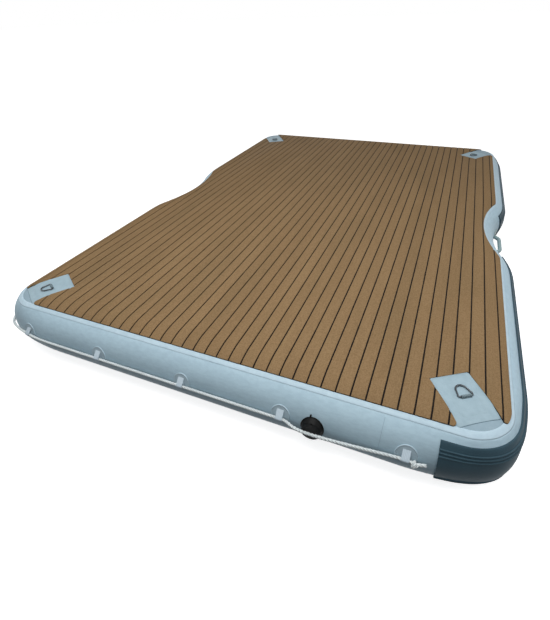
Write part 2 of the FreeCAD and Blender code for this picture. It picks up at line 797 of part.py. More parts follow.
def wall_band(inner, outer):
    """Layer on the front and left side walls, from the front-right corner to the left notch."""
    segments = wall_segments()
    run = segments[-3:] + segments[:1]
    return follow(lambda pull: band_section(*GUIDE_BAND, inner, outer, pull), run)


def teardrop(radius, centre, apex):
    """Face in the XZ plane: a circle drawn out to a point."""
    offset = apex - centre
    reach = math.hypot(offset.x, offset.z)
    heading = math.degrees(math.atan2(offset.z, offset.x))
    spread = math.degrees(math.acos(radius / reach))

    def on_circle(angle):
        angle = math.radians(angle)
        return centre + V(radius * math.cos(angle), 0, radius * math.sin(angle))

    first = heading + spread
    last = heading + 360.0 - spread
    arc = Part.Arc(on_circle(first), on_circle((first + last) / 2), on_circle(last)).toShape()
    return closed_face(polyline([apex, on_circle(first)]) + [arc])


def make_guide(position, angle, thin, rim, backing):
    """Round patch and webbing loop of one rope guide."""
    depth = 4 * GUIDE_PATCH_R
    start = V(-depth / 2, 0, GUIDE_RISE)
    column = Part.makeCylinder(GUIDE_PATCH_R, depth, start, V(1, 0, 0))
    hole = Part.makeCylinder(GUIDE_PATCH_R - GUIDE_RIM_WIDTH, depth, start, V(1, 0, 0))
    disc = thin.common(placed(column, angle, position))
    edge = rim.common(placed(column.cut(hole), angle, position))
    patch = disc.fuse(edge).removeSplitter()
    rope = V(ROPE_STANDOFF, 0, 0)
    inner_r = ROPE_R + ROPE_GUIDE_CLEARANCE
    outer_apex = V(-LOOP_TOP_DEPTH, 0, LOOP_TOP_RISE)
    inner_apex = V(-LOOP_TOP_DEPTH / 4, 0, LOOP_TOP_RISE - 4 * LOOP_WEB)
    outer = teardrop(inner_r + LOOP_WEB, rope, outer_apex)
    face = outer.cut(teardrop(inner_r, rope, inner_apex))
    loop = face.extrude(V(0, LOOP_WIDTH, 0))
    loop.translate(V(0, -LOOP_WIDTH / 2, 0))
    loop = placed(loop, angle, position).cut(backing).cut(patch)
    return patch, max(loop.Solids, key=lambda s: s.Volume)


def knot_places():
    """Centre and outward end of the tail of the two stopper knots, each just past a loop."""
    beside = LOOP_WIDTH / 2 + KNOT_HALF + KNOT_GAP + KNOT_CHAMFER
    x = GUIDE_FRONT_X[-1] + beside
    y = GUIDE_LEFT_Y[-1] + beside
    return (
        (V(x, FRONT_Y - KNOT_STANDOFF, ROPE_Z), V(x + TAIL_LENGTH, FRONT_Y - TAIL_STANDOFF, ROPE_Z)),
        (
            V(-SIDE_X - KNOT_STANDOFF, y, ROPE_LEFT_Z),
            V(-SIDE_X - TAIL_STANDOFF, y + TAIL_LENGTH, ROPE_LEFT_Z),
        ),
    )


def rope_route():
    """Centre line of the grab line, from the knot beside the last front guide to the left side."""
    front = FRONT_Y - ROPE_STANDOFF
    cap = FRONT_Y - ROPE_OVER_CAP
    left = -SIDE_X - ROPE_STANDOFF
    right_knot, left_knot = [knot for knot, _ in knot_places()]
    return [
        right_knot,
        V(GUIDE_FRONT_X[-1] + ROPE_LOOP_LEAD, front, ROPE_Z),
        V(GUIDE_FRONT_X[-1] - LOOP_WIDTH, front, ROPE_Z),
        V(VALVE_X + ROPE_CAP_RIGHT, cap, ROPE_Z),
        V(VALVE_X - ROPE_CAP_LEFT, cap, ROPE_Z),
        V(GUIDE_FRONT_X[-2] + LOOP_WIDTH, front, ROPE_Z),
        *[V(*point) for point in ROPE_CORNER],
        V(left, GUIDE_LEFT_Y[-1] + ROPE_LOOP_LEAD, ROPE_LEFT_Z),
        left_knot,
    ]


def rope_radii(points):
    """Largest tangent arc that the two runs at each inner point allow."""
    radii = []
    for before, corner, after in zip(points[:-2], points[1:-1], points[2:]):
        shorter = min(corner.distanceToPoint(before), corner.distanceToPoint(after))
        turn = math.pi - (before - corner).getAngle(after - corner)
        radii.append(0.49 * shorter / math.tan(turn / 2))
    return radii


def make_rope():
    """Grab line with a stopper knot at each end."""
    points = rope_route()
    edges = fillet_path(points, rope_radii(points))
    line = tube(edges, ROPE_R)
    length = sum(edge.Length for edge in edges)
    ratio = line.Volume / (length * math.pi * ROPE_R ** 2)
    print("grab line length", round(length), "volume ratio", round(ratio, 4))
    extras = []
    for knot, tail in knot_places():
        along = (tail - knot).normalize()
        extras.append(Part.makeCylinder(ROPE_R, tail.distanceToPoint(knot), knot, along))
        lump = Part.makeCylinder(KNOT_R, 2 * KNOT_HALF, knot - along * KNOT_HALF, along)
        round_edges = [e for e in lump.Edges if e.Curve.TypeId == "Part::GeomCircle"]
        extras.append(lump.makeChamfer(KNOT_CHAMFER, round_edges))
    for extra in extras:
        line = line.fuse(extra)
    return line


def make_valve_body(flange, behind):
    """Valve body: glued flange with its collar, threaded barrel and the stem's spider guide."""
    barrel = disc_at(VALVE_NECK_R, -VALVE_BARREL_IN, 0.0)
    boss = disc_at(VALVE_BOSS_R, 0.0, VALVE_BOSS_OUT)
    bore = disc_at(VALVE_BORE_R, -VALVE_BARREL_IN - OVER, VALVE_BOSS_OUT + OVER)
    shell = barrel.fuse(boss).cut(bore)
    low = SPIDER_OUTER_FACE - SPIDER_T
    hub = disc_at(SPIDER_HUB_R, low, SPIDER_OUTER_FACE)
    for index in range(3):
        arm = Part.makeBox(
            VALVE_FLANGE_BORE_R, SPIDER_ARM_WIDTH, SPIDER_T, V(0, -SPIDER_ARM_WIDTH / 2, low)
        )
        arm.rotate(ORIGIN, UP, 120.0 * index)
        hub = hub.fuse(arm)
    hub = hub.cut(disc_at(STEM_R + STEM_FIT, low - OVER, SPIDER_OUTER_FACE + OVER))
    half = VALVE_NIB_WIDTH / 2
    depth = 4 * OVER
    nib = Part.makeBox(
        2 * half, VALVE_NIB_REACH - half, 2 * depth, V(VALVE_NIB_X - half, 0, -depth)
    )
    tip = disc_at(half, -depth, depth, VALVE_NIB_X, VALVE_NIB_REACH - half)
    column = disc_at(VALVE_FLANGE_R, -depth, depth).multiFuse([nib, tip])
    opening = valve_place(disc_at(VALVE_FLANGE_BORE_R, -depth, depth))
    plate = flange.common(valve_place(column))
    rise = VALVE_COLLAR_DEPTH + VALVE_COLLAR_OUT
    start = V(0, 0, -VALVE_COLLAR_DEPTH)
    collar = valve_place(Part.makeCone(VALVE_COLLAR_FOOT_R, VALVE_COLLAR_R, rise, start, UP))
    skirt = plate.fuse(collar.cut(behind)).cut(opening)
    return skirt.fuse(valve_place(shell.fuse(hub))).removeSplitter()


def make_valve_nut():
    """Ring nut that clamps the skin from the inside."""
    high = -VALVE_SKIN
    nut = ring_at(NUT_R, VALVE_NECK_R, high - NUT_T, high)
    notches = []
    for index in range(NUT_NOTCHES):
        spot = polar(360.0 * index / NUT_NOTCHES, NUT_R)
        notches.append(disc_at(NUT_NOTCH_R, high - NUT_T - OVER, high + OVER, spot.x, spot.y))
    return nut.cut(Part.makeCompound(notches))


def make_valve_stem():
    """Spring-loaded stem with the push button outside and the poppet inside."""
    seat = -VALVE_BARREL_IN - SEAL_GAP - SEAL_T
    stem = disc_at(STEM_R, seat, BUTTON_IN)
    button = disc_at(BUTTON_R, BUTTON_IN, BUTTON_OUT)
    poppet = disc_at(POPPET_R, seat - POPPET_T, seat)
    return stem.multiFuse([button, poppet]).removeSplitter()


def make_valve_spring():
    """Compression spring between the spider and the button."""
    low = SPIDER_OUTER_FACE + SPRING_WIRE / 2
    high = BUTTON_IN - SPRING_WIRE / 2
    helix = Part.makeHelix((high - low) / SPRING_TURNS, high - low, SPRING_R)
    helix.translate(V(0, 0, low))
    half = SPRING_WIRE / 2
    corners = [(-half, -half), (half, -half), (half, half), (-half, half), (-half, -half)]
    section = Part.Wire(polyline([V(SPRING_R + x, 0, low + z) for x, z in corners]))
    return Part.Wire(helix).makePipeShell([section], True, True)


def make_valve_cap():
    """Screw cap with a scalloped edge and a shallow dish in its face."""
    cap = disc_at(CAP_R, CAP_IN, CAP_OUT)
    rim = [e for e in cap.Edges if abs(e.BoundBox.ZMin - CAP_OUT) < 0.01 and e.BoundBox.ZLength < 0.01]
    cap = cap.makeFillet(CAP_EDGE_R, rim)
    cap = cap.cut(disc_at(VALVE_BOSS_R + CAP_BORE_CLEARANCE, CAP_IN - OVER, CAP_OUT - CAP_ROOF_T))
    cap = cap.cut(disc_at(CAP_INSET_R, CAP_OUT - CAP_INSET_DEPTH, CAP_OUT + OVER))
    grips = []
    for index in range(CAP_GRIP_COUNT):
        spot = polar(360.0 * (index + 0.5) / CAP_GRIP_COUNT, CAP_R + CAP_GRIP_R / 2)
        grips.append(disc_at(CAP_GRIP_R, CAP_IN - OVER, CAP_OUT + OVER, spot.x, spot.y))
    return cap.cut(Part.makeCompound(grips))


def make_valve_tether():
    """Flexible retaining ring of the cap, with its pull tab pointing up."""
    low = VALVE_COLLAR_OUT
    ring = disc_at(TETHER_R, low, low + TETHER_T)
    half = TETHER_TAB_WIDTH / 2
    reach = TETHER_TAB_REACH - half
    tab = Part.makeBox(TETHER_TAB_WIDTH, reach, TETHER_T, V(-half, 0, low))
    end = disc_at(half, low, low + TETHER_T, 0.0, reach)
    hole = disc_at(VALVE_BOSS_R, low - OVER, low + TETHER_T + OVER)
    return ring.multiFuse([tab, end]).removeSplitter().cut(hole)


def main():
    """Build every piece and write it."""
    os.makedirs("parts", exist_ok=True)
    hull = make_hull()
    save(hull, "hull")
    base, strips = make_deck_pad()
    save(base, "deck_pad_base")
    save(strips, "deck_planks")
    save(make_top_tape(), "top_seam_tape")
    save(make_bottom_tape(), "bottom_seam_tape")

    ring = make_ring()
    strap = make_ring_strap()
    for name, centre, turn in patch_places():
        save(make_patch(centre, turn), "corner_patch_" + name)
        axis_point, ring_turn = ring_place(name, centre, turn)
        save(placed(ring, ring_turn, axis_point), "tow_ring_" + name)
        save(placed(strap, ring_turn, axis_point), "tow_ring_strap_" + name)
        print("ring axis", name, [round(c, 2) for c in axis_point], "turn", ring_turn)

    handle = make_handle()
    save(handle, "carry_handle_right")
    save(handle.mirror(ORIGIN, V(1, 0, 0)), "carry_handle_left")

    front_strake, rear_strake = make_strakes()
    save(front_strake, "rubbing_strake_front_right")
    save(rear_strake, "rubbing_strake_rear_right")

    thin = wall_band(0.0, GUIDE_PATCH_T)
    rim = wall_band(0.0, GUIDE_RIM_T)
    backing = wall_band(-4 * OVER, 0.0)
    for name, position, angle in guide_places():
        patch, loop = make_guide(position, angle, thin, rim, backing)
        save(patch, "rope_guide_patch_" + name)
        save(loop, "rope_guide_loop_" + name)
    save(make_rope(), "grab_line")

    front = wall_segments()[-1:]
    flange = follow(lambda _: band_section(*VALVE_FLANGE_BAND, 0.0, VALVE_FLANGE_T), front)
    save(make_valve_body(flange, backing), "valve_body")
    save(valve_place(make_valve_nut()), "valve_lock_nut")
    save(valve_place(make_valve_stem()), "valve_stem")
    seat = -VALVE_BARREL_IN - SEAL_GAP
    save(valve_place(ring_at(POPPET_R, SEAL_BORE_R, seat - SEAL_T, seat)), "valve_seal")
    save(valve_place(make_valve_spring()), "valve_spring")
    save(valve_place(make_valve_cap()), "valve_cap")
    gasket = ring_at(VALVE_BOSS_R - CAP_BORE_CLEARANCE, GASKET_BORE_R, GASKET_IN, CAP_OUT - CAP_ROOF_T)
    save(valve_place(gasket), "valve_cap_gasket")
    save(valve_place(make_valve_tether()), "valve_cap_tether")


main()
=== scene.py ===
import json
import math

import bmesh
import bpy
import numpy as np
from mathutils import Matrix, Vector, noise


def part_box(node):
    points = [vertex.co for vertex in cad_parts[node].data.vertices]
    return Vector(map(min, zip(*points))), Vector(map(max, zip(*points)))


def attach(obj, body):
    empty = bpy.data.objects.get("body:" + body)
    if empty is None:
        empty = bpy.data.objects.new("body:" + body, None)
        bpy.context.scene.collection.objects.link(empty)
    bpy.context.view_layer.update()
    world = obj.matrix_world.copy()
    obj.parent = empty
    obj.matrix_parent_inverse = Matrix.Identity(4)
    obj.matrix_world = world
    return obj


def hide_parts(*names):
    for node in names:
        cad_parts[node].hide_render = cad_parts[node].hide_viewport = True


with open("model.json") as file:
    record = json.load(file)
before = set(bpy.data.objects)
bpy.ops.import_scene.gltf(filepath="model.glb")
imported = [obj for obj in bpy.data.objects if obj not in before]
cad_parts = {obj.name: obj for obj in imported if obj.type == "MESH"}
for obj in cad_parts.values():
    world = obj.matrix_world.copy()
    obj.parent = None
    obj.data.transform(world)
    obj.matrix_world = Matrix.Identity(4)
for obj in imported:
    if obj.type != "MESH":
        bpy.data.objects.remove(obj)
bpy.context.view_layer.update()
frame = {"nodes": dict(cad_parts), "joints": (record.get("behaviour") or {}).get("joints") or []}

# Sizes in metres. The hull's height is read from the frame, and the rest follows the part.
LENGTH = 3.100
WIDTH = 2.136
HULL_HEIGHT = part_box("hull")[1][2]
FRONT_Y = -LENGTH / 2
SIDE_X = WIDTH / 2
CORNER_R = 0.200
CORNER_LENGTH = CORNER_R * math.pi / 2
MID_HEIGHT = HULL_HEIGHT / 2

# A corner of the outline, as (length, bend), and the least step along the outline
CORNER = (CORNER_LENGTH, 1 / CORNER_R)
LEAST_STEP = 0.0001

# Side-wall section
SHOULDER_R = 0.230
SHOULDER_ARC = math.radians(22.0)
WALL_R = (MID_HEIGHT - SHOULDER_R * (1 - math.cos(SHOULDER_ARC))) / math.cos(SHOULDER_ARC)
WALL_ARC = math.radians(90.0) - SHOULDER_ARC
SHOULDER_START = WALL_R + (SHOULDER_R - WALL_R) * math.sin(SHOULDER_ARC)
SHOULDER_CENTRE_Z = MID_HEIGHT - SHOULDER_R
SHOULDER_ANGLES = (68.0, 72.0, 78.0, 84.0, 90.0)
BELLY_STEP = 4.0
HULL_FLAT_MARGIN = 0.004
SKIN_RIPPLE = 0.0014

# The belly of the wall between its two seams, drawn inward near the corners
SEAM_ANGLE = 62.0
SEAM_DEPTH = WALL_R * (1 - math.cos(math.radians(SEAM_ANGLE)))
SEAM_RISE = WALL_R * math.sin(math.radians(SEAM_ANGLE))
PULL_REACH = 0.155
PULL_POWER = 1.9
PULL_START = 0.015
PULL_MOST = 0.0205
PULL_MOST_ANGLE = 17.0
PULL_TIP = 0.0165

# Side notches
NOTCH_Y = -0.040
NOTCH_DEPTH = 0.070
NOTCH_R = 0.790
BLEND_R = 0.600

# Deck pad and border. The strips' tones are counted from a place left of the pad.
PAD_SHIFT_X = 0.006
PLANK_PITCH = 0.048
PLANKS_ASIDE = 40
PLANK_BEVEL = 0.0006
NODE_MERGE = 1e-5
NODE_FLAT_ANGLE = math.radians(1.0)
DECK_SKIN_ANGLE = 68.0
TAPE_T = 0.001
TAPE_SINK = 0.0004
TAPE_TOP_INNER_ANGLE = 71.1
TAPE_BOTTOM_INNER_ANGLE = 82.0
WALL_JOINT_X = 0.648
WALL_JOINT_WIDTH = 0.0022
WALL_JOINT_SINK = 0.0020
WALL_JOINT_T = 0.0004

# Corner patches: a glued sheet with a raised inner layer, placed from the part's middle
PATCH_LENGTH = 0.176
PATCH_WIDTH = 0.132
PATCH_T = 0.0012
PATCH_GLUE = 0.0012
PATCH_CURL = 0.0030
PATCH_CURL_START = 0.030
PATCH_CURL_FULL = 0.050
# Rows at the patch's outer edge that carry the painted shade
PATCH_DARK_ROWS = 3
PATCH_POINTS = 118
PATCH_STEP = 0.006
PATCH_ARC_STEP = 0.0015
PATCH_INNER_LENGTH = 0.128
PATCH_INNER_WIDTH = 0.084
PATCH_INNER_T = 0.0008
PATCH_INNER_R = 0.012
PATCH_INNER_EDGE = 0.0035
PATCH_CENTRE = {"front": Vector((0.858, -1.357)), "rear": Vector((0.858, 1.247))}
PATCH_TURN = {"front": math.radians(33.0), "rear": math.radians(147.0)}

# Webbing that holds the tow rings' bars
STRAP_R = 0.0042
STRAP_RIB_R = 0.0047
STRAP_BORE_R = 0.00266
STRAP_WIDTH = 0.033
STRAP_RIB_PITCH = 0.005
STRAP_FOOT_HALF = 0.006
STRAP_FOOT_T = 0.0018
STRAP_ROWS = 66
STRAP_ARC_STEPS = 24

# Rubbing strakes. The rim is given as (degrees in from the edge, offset).
STRAKE_T = 0.005
STRAKE_SINK = 0.0015
STRAKE_ARC = 50.0
STRAKE_END_X = 0.810
STRAKE_END_LEAN = math.tan(math.radians(5.4))
STRAKE_END_FADE = 0.120
STRAKE_EDGE = 2.5
STRAKE_RIM = ((0.0, 0.0), (0.0, 0.0022), (0.7, 0.0040), (STRAKE_EDGE, STRAKE_T))
STRAKE_DROP = 0.24
STRAKE_DROP_LENGTH = 0.30
RIB_ANGLES = (26.0, 31.3, 36.5)
RIB_HEIGHT = 0.003
RIB_HALF_ANGLE = 1.5
RIB_STEPS = 8

# Rope guides. The patch's rings are given as (distance in from its edge, offset).
GUIDE_RISE = 0.007
GUIDE_FRONT_X = (-0.830, -0.444, -0.058, 0.328, 0.730)
GUIDE_LEFT_Y = (-1.255, -0.880, -0.530)
GUIDE_PATCH_R = 0.034
GUIDE_POINTS = 56
GUIDE_RINGS = (
    (0.0, -0.0003), (0.0, 0.0008), (0.0006, 0.0020), (0.0014, 0.0024), (0.0023, 0.0021),
    (0.0030, 0.0015), (0.0070, 0.0014), (0.0170, 0.0014), (0.0289, 0.0014),
)
LOOP_WIDTH = 0.024
LOOP_WEB = 0.0017
LOOP_TOP_RISE = 0.028
LOOP_TOP_DEPTH = 0.009
LOOP_CLEARANCE = 0.0006
LOOP_ARC_STEPS = 16
LOOP_ACROSS = (-1.0, -0.93, -0.78, -0.5, -0.25, 0.0, 0.25, 0.5, 0.78, 0.93, 1.0)
LOOP_EDGE_THICKNESS = {1.0: 0.55, 0.93: 0.9}

# Grab line, from the end of its tail beside the last front guide to the end of its left tail
ROPE_R = 0.00575
ROPE_STANDOFF = 0.010
ROPE_Z = 0.144
ROPE_LEFT_Z = 0.124
ROPE_EASE_R = 0.750
ROPE_POINTS = (
    (0.7895, -1.5566, 0.144), (0.77, -1.5615, 0.144), (0.7575, -1.5646, 0.144),
    (0.746, -1.56, 0.144), (0.738, -1.56, 0.144), (0.728, -1.56, 0.144), (0.706, -1.56, 0.144),
    (0.4845, -1.5803, 0.144), (0.3895, -1.5803, 0.144), (0.352, -1.56, 0.144),
    (0.328, -1.56, 0.144), (-0.058, -1.56, 0.144), (-0.444, -1.56, 0.144), (-0.657, -1.56, 0.144),
    (-0.7687, -1.56, 0.144), (-0.879, -1.5435, 0.144), (-0.9522, -1.5211, 0.1415),
    (-0.988, -1.4996, 0.1365), (-1.0175, -1.4701, 0.1315), (-1.039, -1.4343, 0.1265),
    (-1.0614, -1.3611, 0.124), (-1.078, -1.2508, 0.124), (-1.078, -1.141, 0.124),
    (-1.078, -0.88, 0.124), (-1.078, -0.522, 0.124), (-1.078, -0.514, 0.124),
    (-1.0826, -0.5025, 0.124), (-1.0795, -0.49, 0.124), (-1.0746, -0.4705, 0.124),
)
ROPE_PITCH = 0.036
ROPE_STRANDS = 3
STRAND_SWELL = 1.04
CURVE_STEPS = 10
STEPS_PER_TURN = 12
TUBE_SIDES = 8
# Each knot as (middle, direction of the rope)
KNOTS = (
    (Vector((0.7575, -1.5646, 0.144)), Vector((0.9701, 0.2425, 0.0))),
    (Vector((-1.0826, -0.5025, 0.124)), Vector((0.2425, 0.9701, 0.0))),
)
KNOT_SPAN = 0.0150
KNOT_ORBIT = 0.0082
KNOT_STRAND_R = 0.0048
KNOT_PITCH = 0.7 * ROPE_PITCH
KNOT_TURNS = 1.7
KNOT_STEPS = 18
KNOT_FIRST_TURN = math.radians(-200.0)

# Camera, solved from the photograph
CAMERA_PLACE = (0.6481, -2.2753, 1.2006)
CAMERA_RIGHT = (0.92210, 0.38580, -0.02992)
CAMERA_DOWN = (0.21434, -0.57361, -0.79059)
CAMERA_FORWARD = (-0.32217, 0.72259, -0.61162)
CAMERA_FOCAL_PX = 385.41
PHOTO_HEIGHT_PX = 620
SENSOR_MM = 36.0

# Floor and sky, and the lamps as (name, place, target, size, power)
FLOOR_SIZE = 160.0
FLOOR_Z = -0.0005
FLOOR_GLOW = 0.80
SKY_HORIZON = 0.08
SKY_ZENITH = 0.35
LAMPS = (
    ("overhead", (0.1, -1.5, 2.9), (0.1, -1.4, 0.25), 2.3, 58.0),
    ("right_fill", (3.6, -0.4, 1.7), (1.0, -0.4, 0.12), 2.0, 19.0),
    ("rear_fill", (-1.8, 5.2, 0.9), (-0.2, 1.5, 0.12), 2.0, 16.0),
)

# Fineness of the patterns in the coated fabric and the webbing
THREAD_SCALE = 190.0
WEB_RIB_SCALE = 70.0

WHITE = (1.0, 1.0, 1.0)
UP = Vector((0.0, 0.0, 1.0))


def wall_point(degrees, offset=0.0, pull=0.0):
    """Section point (outward from the widest line, height) at a normal angle and an offset."""
    size = abs(degrees)
    angle = math.radians(size)
    if size <= SEAM_ANGLE:
        depth = SEAM_DEPTH - pull
        radius = (SEAM_RISE ** 2 + depth ** 2) / (2 * depth)
        angle = math.asin(SEAM_RISE / radius) * size / SEAM_ANGLE
        centre_x, centre_z = -radius - pull, 0.0
    elif angle <= WALL_ARC:
        centre_x, centre_z, radius = -WALL_R, 0.0, WALL_R
    else:
        centre_x, centre_z, radius = -SHOULDER_START, SHOULDER_CENTRE_Z, SHOULDER_R
    x = centre_x + (radius + offset) * math.cos(angle)
    z = centre_z + (radius + offset) * math.sin(angle)
    return x, MID_HEIGHT + math.copysign(z, degrees)


def outline_segments():
    """The hull's outline from the middle of the front edge, anticlockwise, as (length, bend)."""
    edge = SIDE_X - CORNER_R
    reach = NOTCH_R + BLEND_R
    half_gap = math.sqrt(NOTCH_DEPTH * (2 * reach - NOTCH_DEPTH))
    turn = math.asin(half_gap / reach)
    straight = LENGTH / 2 - CORNER_R - half_gap
    blend = (BLEND_R * turn, 1 / BLEND_R)
    right = [
        (edge, 0.0), CORNER, (straight + NOTCH_Y, 0.0), blend, (2 * NOTCH_R * turn, -1 / NOTCH_R),
        blend, (straight - NOTCH_Y, 0.0), CORNER,
    ]
    return right + [(2 * edge, 0.0)] + right[::-1]


OUTLINE = outline_segments()
OUTLINE_LENGTH = sum(length for length, _ in OUTLINE)


def length_up_to(index):
    """Distance along the outline at which one of its segments begins."""
    return sum(length for length, _ in OUTLINE[:index])


CORNER_STARTS = [length_up_to(i) for i, segment in enumerate(OUTLINE) if segment == CORNER]


def pull_round(angle):
    """Inward shift of the belly at an angle into a corner."""
    near = min(angle, 90.0 - angle)
    if near < PULL_MOST_ANGLE:
        slope = PULL_START * PULL_POWER / PULL_REACH * math.radians(CORNER_R)
        span, low, high = PULL_MOST_ANGLE, PULL_START, PULL_MOST
        t = near / span
    else:
        slope = 0.0
        span, low, high = 45.0 - PULL_MOST_ANGLE, PULL_MOST, PULL_TIP
        t = (near - PULL_MOST_ANGLE) / span
    ease = t * t * (3 - 2 * t)
    return low + (high - low) * ease + slope * span * t * (1 - t) ** 2


def pull_at(distance):
    """Inward shift of the belly at a distance along the outline."""
    distance %= OUTLINE_LENGTH
    for start in CORNER_STARTS:
        into = distance - start
        if 0.0 <= into <= CORNER_LENGTH:
            return pull_round(math.degrees(into / CORNER_R))
        outside = -into if into < 0.0 else into - CORNER_LENGTH
        if outside < PULL_REACH:
            return PULL_START * ((PULL_REACH - outside) / PULL_REACH) ** PULL_POWER
    return 0.0


def along(distance):
    """Point and outward normal on the hull's widest line, measured from the middle of the front."""
    distance %= OUTLINE_LENGTH
    x, y, heading = 0.0, FRONT_Y, 0.0
    for length, bend in OUTLINE:
        run = min(distance, length)
        turned = heading + bend * run
        if bend:
            x += (math.sin(turned) - math.sin(heading)) / bend
            y += (math.cos(heading) - math.cos(turned)) / bend
        else:
            x += math.cos(heading) * run
            y += math.sin(heading) * run
        heading = turned
        distance -= run
        if distance <= 0.0:
            break
    return Vector((x, y)), Vector((math.sin(heading), -math.cos(heading)))


def outline_distances(start, end, arc_step=0.011, line_step=0.030):
    """Distances along the outline between two limits, close together on the arcs."""
    stops = []
    base = 0.0
    for length, bend in OUTLINE:
        count = max(1, round(length / (arc_step if bend else line_step)))
        places = [base + length * index / count for index in range(count)]
        stops += [place for place in places if start < place < end]
        base += length
    kept = [start]
    for place in stops + [end]:
        if place - kept[-1] > LEAST_STEP:
            kept.append(place)
    kept[-1] = end
    return kept


def surface(distance, degrees, offset=0.0):
    """Point on the side wall, at a distance along the outline and a normal angle."""
    place, normal = along(distance)
    x, z = wall_point(degrees, offset, pull_at(distance))
    return Vector((place.x + normal.x * x, place.y + normal.y * x, z))


def wall_degrees(height, pull=0.0):
    """Normal angle of the wall at a height."""
    depth = SEAM_DEPTH - pull
    radius = (SEAM_RISE ** 2 + depth ** 2) / (2 * depth)
    return SEAM_ANGLE * math.asin((height - MID_HEIGHT) / radius) / math.asin(SEAM_RISE / radius)


def top_height(x, y):
    """Height of the hull's skin near the top, at a place by a corner or a straight edge."""
    inner_x = SIDE_X - CORNER_R
    inner_y = LENGTH / 2 - CORNER_R
    over = Vector((max(abs(x) - inner_x, 0.0), max(abs(y) - inner_y, 0.0)))
    if over.x > 0 and over.y > 0:
        inset = over.length - CORNER_R
    else:
        inset = max(abs(x) - SIDE_X, abs(y) - LENGTH / 2)
    back = inset + SHOULDER_START
    if back <= 0:
        return HULL_HEIGHT
    if back <= SHOULDER_R * math.sin(SHOULDER_ARC):
        return MID_HEIGHT + SHOULDER_CENTRE_Z + math.sqrt(SHOULDER_R ** 2 - back ** 2)
    return MID_HEIGHT + math.sqrt(max(WALL_R ** 2 - (inset + WALL_R) ** 2, 0.0))


def make_object(name, vertices, faces):
    """New mesh object in the scene, with its faces turned outward."""
    mesh = bpy.data.meshes.new(name)
    mesh.from_pydata([tuple(v) for v in vertices], [], faces)
    mesh.validate()
    piece = bpy.data.objects.new(name, mesh)
    bpy.context.collection.objects.link(piece)
    bm = bmesh.new()
    bm.from_mesh(mesh)
    bmesh.ops.recalc_face_normals(bm, faces=bm.faces)
    bm.to_mesh(mesh)
    bm.free()
    return piece


def grid_faces(rows, columns, close_rows=False, close_columns=False, start=0):
    """Quads of a grid of vertices stored row by row."""
    faces = []
    for i in range(rows if close_rows else rows - 1):
        row = start + i * columns
        following = start + (i + 1) % rows * columns
        for j in range(columns if close_columns else columns - 1):
            beside = (j + 1) % columns
            faces.append((row + j, row + beside, following + beside, following + j))
    return faces


def wall_ripple(point):
    """Slow unevenness of the inflated skin, always inward."""
    value = noise.noise(point * 6.0) + 0.5 * noise.noise(point * 15.0)
    return -SKIN_RIPPLE * (0.5 + 0.33 * value)


def closed_faces(rows, columns, start=0, flipped=False):
    """Quads of a closed section carried along a line, with a face over each end."""
    faces = grid_faces(rows, columns, close_columns=True, start=start)
    last = start + (rows - 1) * columns
    ends = [range(start, start + columns), range(last, last + columns)]
    if flipped:
        ends.reverse()
    return faces + [tuple(ends[0]), tuple(reversed(ends[1]))]


def sweep_profile(name, profile, distances, closed_path=False):
    """Closed section, given as (normal angle, offset) points, carried along the outline."""
    vertices = [surface(distance, *point) for distance in distances for point in profile]
    rows, columns = len(distances), len(profile)
    if closed_path:
        return make_object(name, vertices, grid_faces(rows, columns, True, True))
    return make_object(name, vertices, closed_faces(rows, columns))


def add_bevel(piece, width, segments, degrees):
    """Rounded edges, applied to the mesh."""
    bevel = piece.modifiers.new("edges", "BEVEL")
    bevel.width = width
    bevel.segments = segments
    bevel.limit_method = "ANGLE"
    bevel.angle_limit = math.radians(degrees)
    graph = bpy.context.evaluated_depsgraph_get()
    mesh = bpy.data.meshes.new_from_object(piece.evaluated_get(graph))
    piece.modifiers.clear()
    piece.data = mesh


def copy_of_node(node, name):
    """New object with the mesh of a part's node, its corners joined."""
    source = frame["nodes"][node]
    mesh = source.data.copy()
    mesh.materials.clear()
    piece = bpy.data.objects.new(name, mesh)
    bpy.context.collection.objects.link(piece)
    bm = bmesh.new()
    bm.from_mesh(mesh)
    bmesh.ops.remove_doubles(bm, verts=bm.verts, dist=NODE_MERGE)
    bmesh.ops.dissolve_limit(bm, angle_limit=NODE_FLAT_ANGLE, verts=bm.verts, edges=bm.edges)
    bm.to_mesh(mesh)
    bm.free()
    if "custom_normal" in mesh.attributes:
        mesh.attributes.remove(mesh.attributes["custom_normal"])
    return piece


def place_piece(piece, material, degrees, slot, *nodes):
    """Shade a piece smooth up to an angle, and set its material and the nodes it shows. The slot is
    not used.
    """
    mesh = piece.data
    mesh.polygons.foreach_set("use_smooth", [True] * len(mesh.polygons))
    mesh.set_sharp_from_angle(angle=math.radians(degrees))
    mesh.materials.clear()
    mesh.materials.append(material)
    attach(piece, "dock")
    if nodes:
        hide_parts(*nodes)


